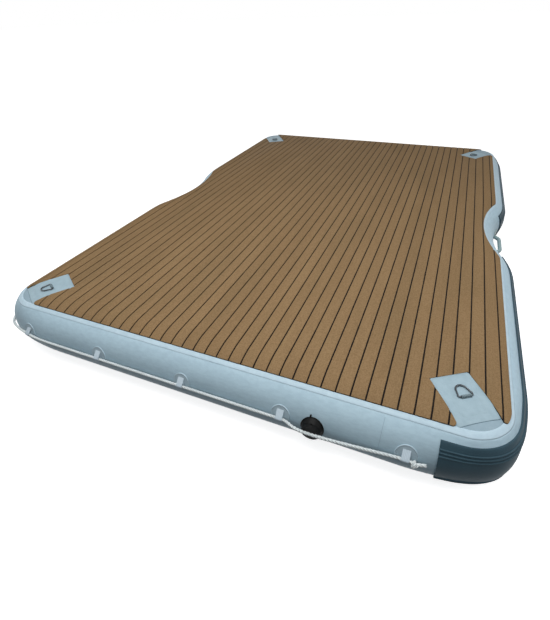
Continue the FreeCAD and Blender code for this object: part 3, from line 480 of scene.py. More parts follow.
class Nodes:
    """Small helper that builds a tree of shader nodes."""

    def __init__(self, tree):
        self.tree = tree

    def node(self, kind, values=None, **settings):
        """New node with its properties and the constant values of its inputs set."""
        made = self.tree.nodes.new(kind)
        for key, value in settings.items():
            setattr(made, key, value)
        self.fill(made, values or {})
        return made

    def fill(self, made, values):
        """Set constant values straight on a node's inputs."""
        for key, value in values.items():
            made.inputs[key].default_value = value

    def link(self, source, target):
        """Join two sockets."""
        self.tree.links.new(source, target)

    def math(self, operation, first, second):
        """One sum on sockets or numbers."""
        made = self.node("ShaderNodeMath", operation=operation)
        for index, value in enumerate((first, second)):
            if isinstance(value, float):
                made.inputs[index].default_value = value
            else:
                self.link(value, made.inputs[index])
        return made.outputs[0]

    def spread(self, value, low, high):
        """A value from 0 to 1 carried to another range."""
        made = self.node("ShaderNodeMapRange", {"To Min": low, "To Max": high})
        self.link(value, made.inputs["Value"])
        return made.outputs["Result"]

    def mixed(self, share, first, second):
        """Mix of two shaders."""
        made = self.node("ShaderNodeMixShader")
        for index, source in enumerate((share, first, second)):
            self.link(source, made.inputs[index])
        return made.outputs["Shader"]


class Shader(Nodes):
    """One procedural material."""

    def __init__(self, name, roughness, specular=0.5, metallic=0.0):
        self.material = bpy.data.materials.new(name)
        self.material.use_nodes = True
        super().__init__(self.material.node_tree)
        self.surface = self.tree.nodes["Principled BSDF"]
        values = {"Roughness": roughness, "Specular IOR Level": specular, "Metallic": metallic}
        self.fill(self.surface, values)
        self.coordinates = self.node("ShaderNodeTexCoord").outputs["Object"]

    def noise(self, scale, detail=3.0, rough=0.5, stretch=None):
        """Noise value from 0 to 1, in coordinates that may be stretched along each axis."""
        values = {"Scale": scale, "Detail": detail, "Roughness": rough}
        made = self.node("ShaderNodeTexNoise", values)
        vector = self.coordinates
        if stretch:
            mapping = self.node("ShaderNodeMapping", {"Scale": stretch})
            self.link(vector, mapping.inputs["Vector"])
            vector = mapping.outputs["Vector"]
        self.link(vector, made.inputs["Vector"])
        return made.outputs["Fac"]

    def wave(self, scale, direction):
        """Bands along one axis."""
        made = self.node("ShaderNodeTexWave", {"Scale": scale}, bands_direction=direction)
        self.link(self.coordinates, made.inputs["Vector"])
        return made.outputs["Fac"]

    def ramp(self, value, *stops):
        """Colour from a value, by stops of (position, colour)."""
        made = self.node("ShaderNodeValToRGB")
        elements = made.color_ramp.elements
        while len(elements) < len(stops):
            elements.new(0.5)
        for element, (position, colour) in zip(elements, stops):
            element.position = position
            element.color = (*colour, 1.0)
        self.link(value, made.inputs["Fac"])
        return made.outputs["Color"]

    def shaded(self, share, colour, shade):
        """Colour multiplied by a share of another one."""
        made = self.node("ShaderNodeMix", {0: share}, data_type="RGBA", blend_type="MULTIPLY")
        self.link(colour, made.inputs[6])
        self.link(shade, made.inputs[7])
        return made.outputs[2]

    def colour(self, socket):
        """Use a socket as the surface colour."""
        self.link(socket, self.surface.inputs["Base Color"])

    def roughness(self, value, low, high):
        """Vary the roughness between two values."""
        self.link(self.spread(value, low, high), self.surface.inputs["Roughness"])

    def bump(self, *layers):
        """Chain of bumps, each (height socket, distance in metres, strength)."""
        normal = None
        for height, distance, strength in layers:
            made = self.node("ShaderNodeBump", {"Distance": distance, "Strength": strength})
            self.link(height, made.inputs["Height"])
            if normal is not None:
                self.link(normal, made.inputs["Normal"])
            normal = made.outputs["Normal"]
        self.link(normal, self.surface.inputs["Normal"])


def srgb(red, green, blue):
    """Linear colour from 8-bit display values."""
    values = []
    for channel in (red, green, blue):
        share = channel / 255.0
        values.append(share / 12.92 if share <= 0.04045 else ((share + 0.055) / 1.055) ** 2.4)
    return tuple(values)


def coated_fabric(name, colour, shade, gloss=0.42):
    """PVC-coated fabric: slow colour drift, a faint thread pattern and a satin sheen."""
    made = Shader(name, gloss, 0.10)
    base = made.ramp(made.noise(3.5, 4.0), (0.30, shade), (0.70, colour))
    scuffs = made.noise(40.0, 6.0, 0.65, (1.0, 1.0, 3.0))
    worn = made.ramp(scuffs, (0.35, srgb(214, 222, 226)), (0.62, WHITE))
    made.colour(made.shaded(0.35, base, worn))
    made.roughness(scuffs, gloss - 0.07, gloss + 0.12)
    threads = made.math("ADD", made.wave(THREAD_SCALE, "X"), made.wave(THREAD_SCALE, "Y"))
    weave = made.math("MULTIPLY", threads, made.wave(THREAD_SCALE, "Z"))
    made.bump((made.noise(9.0, 2.0), 0.004, 0.35), (weave, 0.00012, 0.35))
    return made.material


def teak_foam():
    """Brown foam strips: a tone for each strip, brushed streaks along it, flecks and fine pores."""
    made = Shader("teak_foam", 0.82, 0.08)
    split = made.node("ShaderNodeSeparateXYZ")
    made.link(made.coordinates, split.inputs["Vector"])
    shifted = made.math("SUBTRACT", split.outputs["X"], PAD_SHIFT_X - PLANKS_ASIDE * PLANK_PITCH)
    number = made.math("FLOOR", made.math("DIVIDE", shifted, PLANK_PITCH), 0.0)
    tone = made.node("ShaderNodeTexWhiteNoise", noise_dimensions="1D")
    made.link(number, tone.inputs["W"])
    streaks = made.noise(1.0, 5.0, 0.6, (420.0, 9.0, 60.0))
    patches = made.noise(1.0, 4.0, 0.55, (9.0, 2.2, 9.0))
    flecks = made.noise(230.0, 2.0, 0.6)
    browns = (0.30, srgb(154, 128, 94)), (0.52, srgb(160, 132, 97)), (0.74, srgb(164, 136, 100))
    grain = made.ramp(streaks, (0.30, srgb(238, 235, 231)), (0.70, WHITE))
    strip = made.ramp(tone.outputs["Value"], (0.0, srgb(248, 247, 246)), (1.0, WHITE))
    speckle = made.ramp(flecks, (0.34, srgb(222, 218, 212)), (0.62, WHITE))
    toned = made.shaded(1.0, made.shaded(0.75, made.ramp(patches, *browns), grain), strip)
    made.colour(made.shaded(0.8, toned, speckle))
    made.roughness(streaks, 0.70, 0.88)
    made.bump((streaks, 0.0006, 0.55), (made.noise(900.0), 0.0003, 0.35))
    return made.material


def seam_foam():
    """Dark foam of the base sheet, seen in the seams and at the pad's edge."""
    made = Shader("seam_foam", 0.85, 0.2)
    pores = made.noise(700.0)
    made.colour(made.ramp(pores, (0.3, srgb(17, 14, 12)), (0.7, srgb(27, 21, 17))))
    made.bump((pores, 0.0003, 0.5))
    return made.material


def woven(name, light, dark, direction):
    """Flat webbing with ribs across one axis."""
    made = Shader(name, 0.72, 0.3)
    ribs = made.wave(WEB_RIB_SCALE, direction)
    threads = made.noise(900.0)
    shade = made.math("MULTIPLY", made.math("ADD", ribs, threads), 0.5)
    made.colour(made.ramp(shade, (0.25, dark), (0.65, light)))
    made.bump((ribs, 0.0006, 0.6), (threads, 0.0003, 0.5))
    return made.material


def ribbed_rubber():
    """Slate rubber of the strake, with a fine chalky speckle all over."""
    made = Shader("strake_rubber", 0.55, 0.16)
    fine = made.noise(320.0, 4.0)
    base = made.ramp(made.noise(7.0, 4.0), (0.30, srgb(46, 68, 79)), (0.70, srgb(58, 84, 96)))
    dust = made.ramp(fine, (0.35, srgb(225, 228, 230)), (0.65, WHITE))
    made.colour(made.shaded(0.6, base, dust))
    made.roughness(fine, 0.42, 0.62)
    made.bump((fine, 0.00025, 0.4))
    return made.material


def moulded(name, colour, shade, rough, specular=0.5):
    """Moulded plastic with a fine grain and small changes of tone."""
    made = Shader(name, rough, specular)
    grain = made.noise(1400.0, 2.0)
    made.colour(made.ramp(made.noise(25.0), (0.3, shade), (0.7, colour)))
    made.roughness(grain, rough - 0.06, rough + 0.08)
    made.bump((grain, 0.0001, 0.35))
    return made.material


def polished_steel(name, colour):
    """Steel with fine polishing marks."""
    made = Shader(name, 0.2, 0.5, 1.0)
    marks = made.noise(1.0, 4.0, stretch=(60.0, 500.0, 500.0))
    shade = tuple(channel * 0.8 for channel in colour)
    made.colour(made.ramp(made.noise(60.0, 2.0), (0.3, shade), (0.7, colour)))
    made.roughness(marks, 0.14, 0.32)
    made.bump((marks, 0.00005, 0.3))
    return made.material


def rope_fibre():
    """Off-white rope yarn with fine fibres."""
    made = Shader("rope_fibre", 0.82, 0.25)
    fibres = made.noise(1500.0, 4.0, 0.6)
    base = made.ramp(made.noise(14.0), (0.3, srgb(226, 234, 236)), (0.7, srgb(238, 244, 245)))
    shade = made.ramp(fibres, (0.3, srgb(225, 227, 225)), (0.65, WHITE))
    made.colour(made.shaded(0.8, base, shade))
    made.bump((fibres, 0.0004, 0.6))
    return made.material


SKIN = coated_fabric("hull_skin", srgb(195, 221, 234), srgb(190, 216, 230))
TAPE = coated_fabric("seam_tape", srgb(207, 229, 241), srgb(202, 225, 238), 0.46)
PATCH = coated_fabric("patch_skin", srgb(177, 200, 210), srgb(172, 195, 206), 0.48)
DECK_SKIN = coated_fabric("deck_skin", srgb(167, 190, 202), srgb(162, 185, 198), 0.50)
# Painted shade: a darker fabric for the outer edge of the corner patches, in place of the shade at
# that edge
EDGE_SHADE = coated_fabric("edge_shade", srgb(112, 134, 148), srgb(104, 126, 140), 0.60)
JOINT_SHADE = coated_fabric("joint_shade", srgb(176, 201, 215), srgb(170, 195, 209), 0.50)
GUIDE_SKIN = coated_fabric("guide_skin", srgb(194, 214, 225), srgb(189, 210, 221), 0.46)
TEAK = teak_foam()
SEAM = seam_foam()
WEBBING_X = woven("webbing_front", srgb(214, 231, 242), srgb(202, 218, 229), "X")
WEBBING_Y = woven("webbing_side", srgb(214, 231, 242), srgb(202, 218, 229), "Y")
STRAP = woven("strap", srgb(128, 146, 152), srgb(102, 118, 126), "Y")
RUBBER = ribbed_rubber()
HANDLE = moulded("handle_grey", srgb(148, 173, 176), srgb(136, 160, 163), 0.42)
BLACK = moulded("valve_black", srgb(10, 11, 12), srgb(6, 7, 7), 0.48, 0.14)
SOFT_BLACK = moulded("soft_black", srgb(16, 16, 17), srgb(11, 11, 12), 0.65, 0.15)
RING_STEEL = polished_steel("ring_steel", (0.10, 0.11, 0.12))
SPRING_STEEL = polished_steel("spring_steel", (0.62, 0.62, 0.60))
ROPE = rope_fibre()


def make_hull():
    """The inflated skin: a closed, slightly uneven shell with the deck's flat top and underside."""
    belly_steps = round(2 * SEAM_ANGLE / BELLY_STEP)
    degrees = [-angle for angle in reversed(SHOULDER_ANGLES)]
    degrees += [BELLY_STEP * i - SEAM_ANGLE for i in range(belly_steps + 1)]
    degrees += SHOULDER_ANGLES
    distances = outline_distances(0.0, OUTLINE_LENGTH)[:-1]
    vertices = []
    for distance in distances:
        place, normal = along(distance)
        inner = place - normal * (SHOULDER_START + HULL_FLAT_MARGIN)
        vertices.append(Vector((inner.x, inner.y, 0.0)))
        for angle in degrees:
            point = surface(distance, angle)
            if abs(angle) < SEAM_ANGLE:
                share = math.cos(math.radians(angle) * 90.0 / SEAM_ANGLE)
                point += Vector((normal.x, normal.y, 0)) * wall_ripple(point) * share
            vertices.append(point)
        vertices.append(Vector((inner.x, inner.y, HULL_HEIGHT)))
    columns = len(degrees) + 2
    rows = len(distances)
    faces = grid_faces(rows, columns, close_rows=True)
    faces.append(tuple(i * columns for i in range(rows)))
    faces.append(tuple(i * columns + columns - 1 for i in range(rows)))
    hull = make_object("hull_skin", vertices, faces)
    place_piece(hull, SKIN, 50.0, "hull_skin", "hull")
    hull.data.materials.append(DECK_SKIN)
    deck_start = wall_point(DECK_SKIN_ANGLE)[1] - 0.0001
    for face in hull.data.polygons:
        if face.center.z > deck_start:
            face.material_index = 1


def band_profile(low, high, inner, outer, steps):
    """Closed section of a band on the wall, with a lens-thin rounded edge at each side."""
    angles = [low + (high - low) * i / steps for i in range(steps + 1)]
    outside = []
    for index, angle in enumerate(angles):
        at_edge = index in (0, steps)
        outside.append((angle, inner + (outer - inner) * (0.35 if at_edge else 1.0)))
    return outside + [(angle, inner) for angle in reversed(angles)]


def make_tapes():
    """Tapes over the upper and lower edges of the side wall."""
    distances = outline_distances(0.0, OUTLINE_LENGTH)[:-1]
    for end, low, high, steps in (
        ("top", SEAM_ANGLE, TAPE_TOP_INNER_ANGLE, 6),
        ("bottom", -TAPE_BOTTOM_INNER_ANGLE, -SEAM_ANGLE, 10),
    ):
        profile = band_profile(low, high, -TAPE_SINK, TAPE_T, steps)
        tape = sweep_profile(end + "_border", profile, distances, closed_path=True)
        place_piece(tape, TAPE, 180.0, "seam_tape", end + "_seam_tape")


def make_wall_joint():
    """Overlap of the wall's sheet, a faint upright line on the front between the last two guides."""
    profile = band_profile(-SEAM_ANGLE, SEAM_ANGLE, -WALL_JOINT_SINK, WALL_JOINT_T, 24)
    joint = sweep_profile("wall_joint", profile, [WALL_JOINT_X, WALL_JOINT_X + WALL_JOINT_WIDTH])
    place_piece(joint, JOINT_SHADE, 180.0, "seam_tape")


def make_pad():
    """Deck pad: the strips of the part with their edges eased, and its base sheet."""
    strips = copy_of_node("deck_planks", "deck_strips")
    add_bevel(strips, PLANK_BEVEL, 2, 50.0)
    place_piece(strips, TEAK, 40.0, "pad_strips", "deck_planks")
    base = copy_of_node("deck_pad_base", "deck_base")
    place_piece(base, SEAM, 40.0, "pad_base", "deck_pad_base")


def rounded_points(length, width, radius):
    """Points round a rectangle with rounded corners, centred on the origin."""
    points = []
    x, y = width / 2 - radius, length / 2 - radius
    quarter = math.pi / 2
    corners = [(x, -y, -quarter), (x, y, 0.0), (-x, y, quarter), (-x, -y, 2 * quarter)]
    arc_steps = max(4, round(radius * quarter / PATCH_ARC_STEP))
    for index, (cx, cy, first) in enumerate(corners):
        for i in range(arc_steps + 1):
            angle = first + quarter * i / arc_steps
            points.append(Vector((cx + radius * math.cos(angle), cy + radius * math.sin(angle))))
        nx, ny, following = corners[(index + 1) % 4]
        target = Vector((nx + radius * math.cos(following), ny + radius * math.sin(following)))
        start = points[-1]
        count = max(1, round((target - start).length / PATCH_STEP))
        points += [start.lerp(target, i / count) for i in range(1, count)]
    return points


def patch_rings():
    """Rings of a corner patch, edge first, as (length, width, corner radius, lift, curl)."""
    rings = []
    for grow, radius, lift, curl in (
        (2 * PATCH_GLUE, 0.0050, -0.0002, 0.0), (2 * PATCH_GLUE, 0.0050, PATCH_T * 0.4, 0.95),
        (0.0, 0.0040, PATCH_T * 0.4, 1.0), (0.0, 0.0040, PATCH_T * 0.6, 1.0),
        (-0.0012, 0.0038, PATCH_T, 0.9), (-0.0060, 0.0036, PATCH_T, 0.2),
    ):
        rings.append((PATCH_LENGTH + grow, PATCH_WIDTH + grow, radius, lift, curl))
    margin = PATCH_LENGTH - PATCH_INNER_LENGTH
    for share in (0.35, 0.75):
        shrink = margin * share
        rings.append((PATCH_LENGTH - shrink, PATCH_WIDTH - shrink, 0.008, PATCH_T, 0.0))
    steps = [(PATCH_INNER_EDGE, 0.013, PATCH_T - 0.0001)]
    for share in (0.0, 0.5, 1.0):
        lift = PATCH_T + PATCH_INNER_T * (3 * share ** 2 - 2 * share ** 3)
        steps.append((PATCH_INNER_EDGE * (1 - 2 * share) * 0.6, PATCH_INNER_R, lift))
    for grow, radius, lift in steps:
        rings.append((PATCH_INNER_LENGTH + grow, PATCH_INNER_WIDTH + grow, radius, lift, 0.0))
    top = PATCH_T + PATCH_INNER_T
    for share in (0.8, 0.55, 0.3, 0.1):
        length, width = PATCH_INNER_LENGTH * share, PATCH_INNER_WIDTH * share
        rings.append((length, width, PATCH_INNER_R * share, top, 0.0))
    return rings


def make_patch(corner):
    """Corner patch on the top: it curls up against the pad and has painted shade along its outer
    edge.
    """
    end, side = corner.split("_")
    sign = 1.0 if side == "right" else -1.0
    centre, turn = PATCH_CENTRE[end], PATCH_TURN[end]
    rings = patch_rings()
    vertices, outer = [], []
    for length, width, radius, lift, curl in rings:
        ring = rounded_points(length, width, radius)
        for point in even_points(ring + ring[:1], count=PATCH_POINTS)[:-1]:
            x = centre.x + point.x * math.cos(turn) - point.y * math.sin(turn)
            y = centre.y + point.x * math.sin(turn) + point.y * math.cos(turn)
            inward = point.y + PATCH_LENGTH / 2 - PATCH_CURL_START
            share = min(max(inward / (PATCH_CURL_FULL - PATCH_CURL_START), 0.0), 1.0)
            height = top_height(x, y) + lift + PATCH_CURL * curl * share
            vertices.append(Vector((sign * x, y, height)))
            outer.append(point.y < -PATCH_LENGTH / 2)
    faces = closed_faces(len(rings), PATCH_POINTS, flipped=True)
    patch = make_object("patch_" + corner, vertices, faces)
    place_piece(patch, PATCH, 35.0, "patch", "corner_patch_" + corner)
    # The first rows along the outer edge get the painted shade
    patch.data.materials.append(EDGE_SHADE)
    for index in range(PATCH_DARK_ROWS * PATCH_POINTS):
        if outer[index % PATCH_POINTS]:
            patch.data.polygons[index].material_index = 1


def strake_profile():
    """Closed section of the rubbing strake as (normal angle, offset) points, with rounded ribs."""
    edge = STRAKE_ARC - STRAKE_EDGE
    rim = [(STRAKE_ARC - inward, offset) for inward, offset in STRAKE_RIM]
    outer = [(-angle, offset) for angle, offset in rim]
    last = -edge
    for rib in sorted([-a for a in RIB_ANGLES] + list(RIB_ANGLES)):
        low, high = rib - RIB_HALF_ANGLE, rib + RIB_HALF_ANGLE
        count = max(1, round((low - last) / 4.0))
        outer += [(last + (low - last) * i / count, STRAKE_T) for i in range(1, count + 1)]
        for i in range(1, RIB_STEPS):
            lift = RIB_HEIGHT * math.sin(math.pi * i / RIB_STEPS) ** 0.7
            outer.append((low + (high - low) * i / RIB_STEPS, STRAKE_T + lift))
        outer.append((high, STRAKE_T))
        last = high
    outer += [(last + (edge - last) / 2, STRAKE_T)] + rim[::-1]
    inner = [(STRAKE_ARC - 5.0 * i, -STRAKE_SINK) for i in range(1, int(STRAKE_ARC / 2.5))]
    return outer + inner


def strake_drop(distance):
    """Share by which the strake's upper half sits lower on the long side than round the corners."""
    side_start = CORNER_STARTS[0] + CORNER_LENGTH / 2
    side_end = CORNER_STARTS[1] + CORNER_LENGTH / 2
    near = min(distance - side_start, side_end - distance) / STRAKE_DROP_LENGTH
    share = min(max(near, 0.0), 1.0)
    return STRAKE_DROP * share * share * (3 - 2 * share)


def make_strake(name, distances, front):
    """One rubbing strake, with its free end cut at a slight lean."""
    profile = strake_profile()
    end_height = wall_point(STRAKE_ARC)[1]
    vertices = []
    for distance in distances:
        from_end = distance - distances[0] if front else distances[-1] - distance
        fade = max(0.0, 1.0 - from_end / STRAKE_END_FADE) * (1 if front else -1)
        keep = 1.0 - strake_drop(distance)
        for degrees, offset in profile:
            shift = STRAKE_END_LEAN * (end_height - wall_point(degrees)[1]) * fade
            angle = degrees * keep if degrees > 0.0 else degrees
            vertices.append(surface(distance + shift, angle, offset))
    strake = make_object("strake_" + name, vertices, closed_faces(len(distances), len(profile)))
    place_piece(strake, RUBBER, 42.0, "strake_rubber", f"rubbing_strake_{name}_right")


def make_strakes():
    """Rubbing strakes round the two right-hand corners, each from an end wall to the notch."""
    make_strake("front", outline_distances(STRAKE_END_X, length_up_to(4), 0.008, 0.02), True)
    rear_end = length_up_to(8) + SIDE_X - CORNER_R - STRAKE_END_X
    make_strake("rear", outline_distances(length_up_to(5), rear_end, 0.008, 0.02), False)


def eased_guide(run):
    """Setback and turn of a rope guide at a distance past the point where a corner begins."""
    if run <= 0.0:
        return 0.0, 0.0
    radius = ROPE_EASE_R - ROPE_STANDOFF
    turn = math.asin(run / radius)
    return radius * (1 - math.cos(turn)), turn


def guide_places():
    """Name, distance along the outline, place at rope height and outward angle of each rope guide."""
    reach = CORNER_R + PULL_REACH
    places = []
    for index, x in enumerate(GUIDE_FRONT_X):
        setback, turn = eased_guide(abs(x) + reach - SIDE_X)
        angle = math.copysign(turn, x) - math.pi / 2
        places.append((f"front_{index + 1}", x, Vector((x, FRONT_Y + setback, ROPE_Z)), angle))
    for index, y in enumerate(GUIDE_LEFT_Y):
        setback, turn = eased_guide(abs(y) + reach + FRONT_Y)
        place = Vector((-SIDE_X + setback, y, ROPE_LEFT_Z))
        distance = FRONT_Y + CORNER_R - y - length_up_to(2)
        places.append((f"left_{index + 1}", distance, place, math.pi + turn))
    return places


def loop_profile():
    """Centre line of the webbing loop as (outward, rise): from its apex, round the rope and up."""
    centre = Vector((ROPE_STANDOFF, 0.0))
    radius = ROPE_R + LOOP_CLEARANCE + LOOP_WEB / 2
    apex = Vector((-LOOP_TOP_DEPTH, LOOP_TOP_RISE))
    lean = apex - centre
    heading = math.atan2(lean.y, lean.x)
    spread = math.acos(radius / lean.length)
    first = heading - spread
    sweep = 2 * math.pi - 2 * spread
    arc = []
    for i in range(LOOP_ARC_STEPS + 1):
        angle = first - sweep * i / LOOP_ARC_STEPS
        arc.append(centre + radius * Vector((math.cos(angle), math.sin(angle))))
    down = [apex.lerp(arc[0], share) for share in (0.0, 0.25, 0.5, 0.75)]
    return down + arc + [arc[-1].lerp(apex, share) for share in (0.25, 0.5)]


def make_guide_disc(name, distance, height):
    """Round patch of a rope guide, with a raised rim."""
    vertices = []
    for inset, offset in GUIDE_RINGS:
        radius = GUIDE_PATCH_R - inset
        for i in range(GUIDE_POINTS):
            angle = 2 * math.pi * i / GUIDE_POINTS
            spot = distance + radius * math.cos(angle)
            degrees = wall_degrees(height + radius * math.sin(angle), pull_at(spot))
            vertices.append(surface(spot, degrees, offset))
    faces = closed_faces(len(GUIDE_RINGS), GUIDE_POINTS, flipped=True)
    disc = make_object("guide_disc_" + name, vertices, faces)
    place_piece(disc, GUIDE_SKIN, 50.0, "patch", "rope_guide_patch_" + name)


def make_guide_loop(name, place, angle):
    """Webbing loop of a rope guide, over the rope."""
    profile = loop_profile()
    outward = Vector((math.cos(angle), math.sin(angle), 0.0))
    across = Vector((-outward.y, outward.x, 0.0)) * LOOP_WIDTH / 2
    vertices = []
    for point, direction in zip(profile, directions(profile)):
        thick = Vector((-direction.y, direction.x)) * LOOP_WEB / 2
        for side, shares in ((1.0, LOOP_ACROSS), (-1.0, LOOP_ACROSS[::-1])):
            for share in shares:
                spot = point + thick * side * LOOP_EDGE_THICKNESS.get(abs(share), 1.0)
                vertices.append(place + outward * spot.x + across * share + UP * spot.y)
    faces = closed_faces(len(profile), 2 * len(LOOP_ACROSS))
    loop = make_object("guide_loop_" + name, vertices, faces)
    material = WEBBING_X if name.startswith("front") else WEBBING_Y
    place_piece(loop, material, 60.0, "webbing", "rope_guide_loop_" + name)


def curve_points(points):
    """Points read from the smooth curve through a route."""
    data = bpy.data.curves.new("route", "CURVE")
    data.dimensions = "3D"
    data.resolution_u = CURVE_STEPS
    spline = data.splines.new("NURBS")
    spline.points.add(len(points) - 1)
    for target, point in zip(spline.points, points):
        target.co = (*point, 1.0)
    spline.order_u = 3
    spline.use_endpoint_u = True
    carrier = bpy.data.objects.new("route", data)
    mesh = bpy.data.meshes.new_from_object(carrier)
    result = [v.co.copy() for v in mesh.vertices]
    bpy.data.objects.remove(carrier)
    bpy.data.curves.remove(data)
    bpy.data.meshes.remove(mesh)
    return result


def even_points(points, step=None, count=None):
    """The same line with evenly spaced points, by their step or their number."""
    lengths = [0.0]
    for a, b in zip(points[:-1], points[1:]):
        lengths.append(lengths[-1] + (b - a).length)
    total = lengths[-1]
    count = count or max(2, round(total / step))
    result = []
    index = 0
    for i in range(count + 1):
        target = min(total * i / count, total - 1e-9)
        while lengths[index + 1] < target:
            index += 1
        span = lengths[index + 1] - lengths[index]
        result.append(points[index].lerp(points[index + 1], (target - lengths[index]) / span))
    return result


def directions(points):
    """Direction of a line at each of its points."""
    ends = zip(points[:1] + points[:-1], points[1:] + points[-1:])
    return [(after - before).normalized() for before, after in ends]


def moving_frames(points):
    """Two normals at each point of a line, turned as little as possible."""
    frames = []
    side = None
    for direction in directions(points):
        if side is None:
            side = direction.orthogonal().normalized()
        side = (side - direction * side.dot(direction)).normalized()
        frames.append((side, direction.cross(side)))
    return frames


def tube_mesh(points, radius, start):
    """Vertices and faces of a round tube along a line, closed at both ends."""
    vertices = []
    for point, (first, second) in zip(points, moving_frames(points)):
        for i in range(TUBE_SIDES):
            angle = 2 * math.pi * i / TUBE_SIDES
            vertices.append(point + (first * math.cos(angle) + second * math.sin(angle)) * radius)
    return vertices, closed_faces(len(points), TUBE_SIDES, start)


def laid_rope(points, radius, pitch, start=0):
    """Vertices and faces of twisted strands along a line."""
    vertices, faces = [], []
    strand_r = radius / (1 + 1 / math.sin(math.pi / ROPE_STRANDS)) * STRAND_SWELL
    orbit = radius - strand_r
    points = even_points(points, pitch / STEPS_PER_TURN)
    frames = moving_frames(points)
    for strand in range(ROPE_STRANDS):
        path = []
        travelled = 0.0
        for index, (point, (first, second)) in enumerate(zip(points, frames)):
            if index:
                travelled += (point - points[index - 1]).length
            angle = 2 * math.pi * (travelled / pitch + strand / ROPE_STRANDS)
            path.append(point + (first * math.cos(angle) + second * math.sin(angle)) * orbit)
        new_vertices, new_faces = tube_mesh(path, strand_r, start + len(vertices))
        vertices += new_vertices
        faces += new_faces
    return vertices, faces


def knot_coil(centre, direction):
    """Control points of the turns that a stopper knot takes round its own line."""
    side = direction.cross(UP)
    points = []
    for index in range(KNOT_STEPS + 1):
        share = index / KNOT_STEPS
        angle = KNOT_FIRST_TURN + 2 * math.pi * KNOT_TURNS * share
        orbit = KNOT_ORBIT * min(1.0, 0.3 + 4 * share, 0.3 + 4 * (1 - share))
        spot = centre + direction * (KNOT_SPAN * (share - 0.5))
        points.append(spot + (side * math.cos(angle) + UP * math.sin(angle)) * orbit)
    return points


def make_rope():
    """Grab line of three strands, with a stopper knot and a short tail at each end."""
    vertices, faces = laid_rope(curve_points(ROPE_POINTS), ROPE_R, ROPE_PITCH)
    for centre, direction in KNOTS:
        coil = curve_points(knot_coil(centre, direction))
        more = laid_rope(coil, KNOT_STRAND_R, KNOT_PITCH, len(vertices))
        vertices += more[0]
        faces += more[1]
    rope = make_object("grab_rope", vertices, faces)
    place_piece(rope, ROPE, 80.0, "rope", "grab_line")


def strap_section(rib):
    """Outer points (along +Y, height) of the strap's section, and the bore's points beside them."""
    foot_top = STRAP_FOOT_T - STRAP_RIB_R
    join = math.asin(foot_top / rib)
    outer, inner = [], []
    for i in range(STRAP_ARC_STEPS + 1):
        angle = join + (math.pi - 2 * join) * i / STRAP_ARC_STEPS
        outer.append((rib * math.cos(angle), rib * math.sin(angle)))
        inner.append(angle)
    for y, z, turn in (
        (-STRAP_FOOT_HALF, foot_top, 240.0), (-STRAP_FOOT_HALF, -STRAP_RIB_R, 255.0),
        (STRAP_FOOT_HALF, -STRAP_RIB_R, 285.0), (STRAP_FOOT_HALF, foot_top, 300.0),
    ):
        outer.append((y, z))
        inner.append(math.radians(turn))
    bore = [(STRAP_BORE_R * math.cos(a), STRAP_BORE_R * math.sin(a)) for a in inner]
    return outer, bore


def make_ring_strap(joint):
    """Ribbed webbing wrapped round a tow ring's bar, on its narrow glued foot."""
    corner = joint["name"][len("tow_ring_"):-len("_hinge")]
    centre = Vector(joint["pos_m"])
    across = Vector(joint["axis"]).normalized()
    inward = UP.cross(across)
    shells = [[], []]
    for index in range(STRAP_ROWS + 1):
        x = STRAP_WIDTH * (index / STRAP_ROWS - 0.5)
        wave = 0.5 - 0.5 * math.cos(2 * math.pi * x / STRAP_RIB_PITCH)
        rib = STRAP_R + (STRAP_RIB_R - STRAP_R) * wave
        for shell, points in zip(shells, strap_section(rib)):
            shell += [centre + across * x + inward * y + UP * z for y, z in points]
    start = len(shells[0])
    count = start // (STRAP_ROWS + 1)
    faces = grid_faces(STRAP_ROWS + 1, count, False, True)
    faces += [face[::-1] for face in grid_faces(STRAP_ROWS + 1, count, False, True, start)]
    for first in (0, STRAP_ROWS * count):
        for i in range(count):
            a, b = first + i, first + (i + 1) % count
            faces.append((a, b, start + b, start + a))
    strap = make_object("ring_strap_" + corner, shells[0] + shells[1], faces)
    place_piece(strap, STRAP, 40.0, "webbing", "tow_ring_strap_" + corner)


def dress_nodes():
    """Materials of the part's own nodes that stay visible, by the longest start of their name."""
    looks = {
        "tow_ring_": RING_STEEL, "carry_handle_": HANDLE, "valve_": BLACK,
        "valve_cap_": SOFT_BLACK, "valve_seal": SOFT_BLACK, "valve_spring": SPRING_STEEL,
    }
    for name, piece in frame["nodes"].items():
        starts = [start for start in looks if name.startswith(start)]
        if starts:
            for place in piece.material_slots:
                place.material = looks[max(starts, key=len)]


def make_stage():
    """Plain floor: white to the camera apart from the dock's soft shadow, and dim to the dock."""
    bpy.ops.mesh.primitive_plane_add(size=FLOOR_SIZE, location=(0, 0, FLOOR_Z))
    floor = bpy.context.object
    floor.name = "floor"
    made = Shader("floor", 0.9, 0.0)
    grain = made.noise(2.0, 2.0)
    made.colour(made.ramp(grain, (0.3, (0.055, 0.06, 0.065)), (0.7, (0.065, 0.07, 0.075))))
    pale = made.node("ShaderNodeBsdfDiffuse", {"Color": (0.95, 0.95, 0.95, 1.0)})
    white = made.node("ShaderNodeEmission", {"Strength": 1.0})
    glow = made.node("ShaderNodeEmission", {"Strength": FLOOR_GLOW})
    shown = made.node("ShaderNodeAddShader")
    made.link(pale.outputs["BSDF"], shown.inputs[0])
    made.link(glow.outputs["Emission"], shown.inputs[1])
    path = made.node("ShaderNodeLightPath").outputs
    mirror_ray = made.math("MAXIMUM", path["Is Glossy Ray"], path["Is Transmission Ray"])
    reflected = made.mixed(mirror_ray, made.surface.outputs["BSDF"], white.outputs["Emission"])
    surface_shader = made.mixed(path["Is Camera Ray"], reflected, shown.outputs["Shader"])
    made.link(surface_shader, made.tree.nodes["Material Output"].inputs["Surface"])
    floor.data.materials.append(made.material)


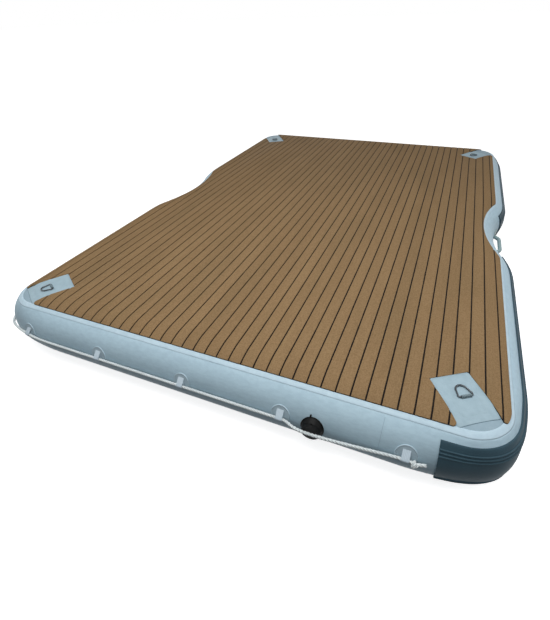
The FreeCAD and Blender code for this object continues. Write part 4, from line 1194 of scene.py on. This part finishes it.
def make_world():
    """Soft sky that is brighter overhead, and plain white to the camera and in reflections."""
    world = bpy.data.worlds.new("studio")
    bpy.context.scene.world = world
    world.use_nodes = True
    world.node_tree.nodes.clear()
    made = Nodes(world.node_tree)
    split = made.node("ShaderNodeSeparateXYZ")
    made.link(made.node("ShaderNodeTexCoord").outputs["Generated"], split.inputs["Vector"])
    soft = made.node("ShaderNodeBackground", {"Color": (0.95, 0.98, 1.0, 1.0)})
    made.link(made.spread(split.outputs["Z"], SKY_HORIZON, SKY_ZENITH), soft.inputs["Strength"])
    white = made.node("ShaderNodeBackground", {"Color": (*WHITE, 1.0), "Strength": 1.0})
    path = made.node("ShaderNodeLightPath").outputs
    seen = made.math("MAXIMUM", path["Is Camera Ray"], path["Is Glossy Ray"])
    sky = made.mixed(seen, soft.outputs["Background"], white.outputs["Background"])
    made.link(sky, made.node("ShaderNodeOutputWorld").inputs["Surface"])


def make_lamps():
    """Square soft lamps, each turned to its target."""
    for name, place, target, size, power in LAMPS:
        data = bpy.data.lights.new(name, "AREA")
        data.energy = power
        data.size = size
        lamp = bpy.data.objects.new(name, data)
        lamp.location = place
        aim = Vector(target) - Vector(place)
        lamp.rotation_euler = aim.to_track_quat("-Z", "Y").to_euler()
        bpy.context.collection.objects.link(lamp)


def make_camera():
    """Camera at the photograph's viewpoint."""
    data = bpy.data.cameras.new("camera")
    data.sensor_width = SENSOR_MM
    data.lens = CAMERA_FOCAL_PX * SENSOR_MM / PHOTO_HEIGHT_PX
    data.clip_end = 300.0
    camera = bpy.data.objects.new("camera", data)
    axes = Vector(CAMERA_RIGHT), -Vector(CAMERA_DOWN), -Vector(CAMERA_FORWARD)
    turn = Matrix(axes).transposed().to_4x4()
    camera.matrix_world = Matrix.Translation(CAMERA_PLACE) @ turn
    bpy.context.collection.objects.link(camera)
    bpy.context.scene.camera = camera


make_camera()
make_hull()
make_tapes()
make_wall_joint()
make_pad()
make_strakes()
for corner_name in ("front_right", "front_left", "rear_right", "rear_left"):
    make_patch(corner_name)
for guide, from_start, rope_place, outward_angle in guide_places():
    make_guide_disc(guide, from_start, rope_place.z + GUIDE_RISE)
    make_guide_loop(guide, rope_place, outward_angle)
make_rope()
for hinge in frame["joints"]:
    if hinge["name"].startswith("tow_ring"):
        make_ring_strap(hinge)
dress_nodes()
make_stage()
make_world()
make_lamps()
bpy.context.scene.view_settings.view_transform = "Standard"
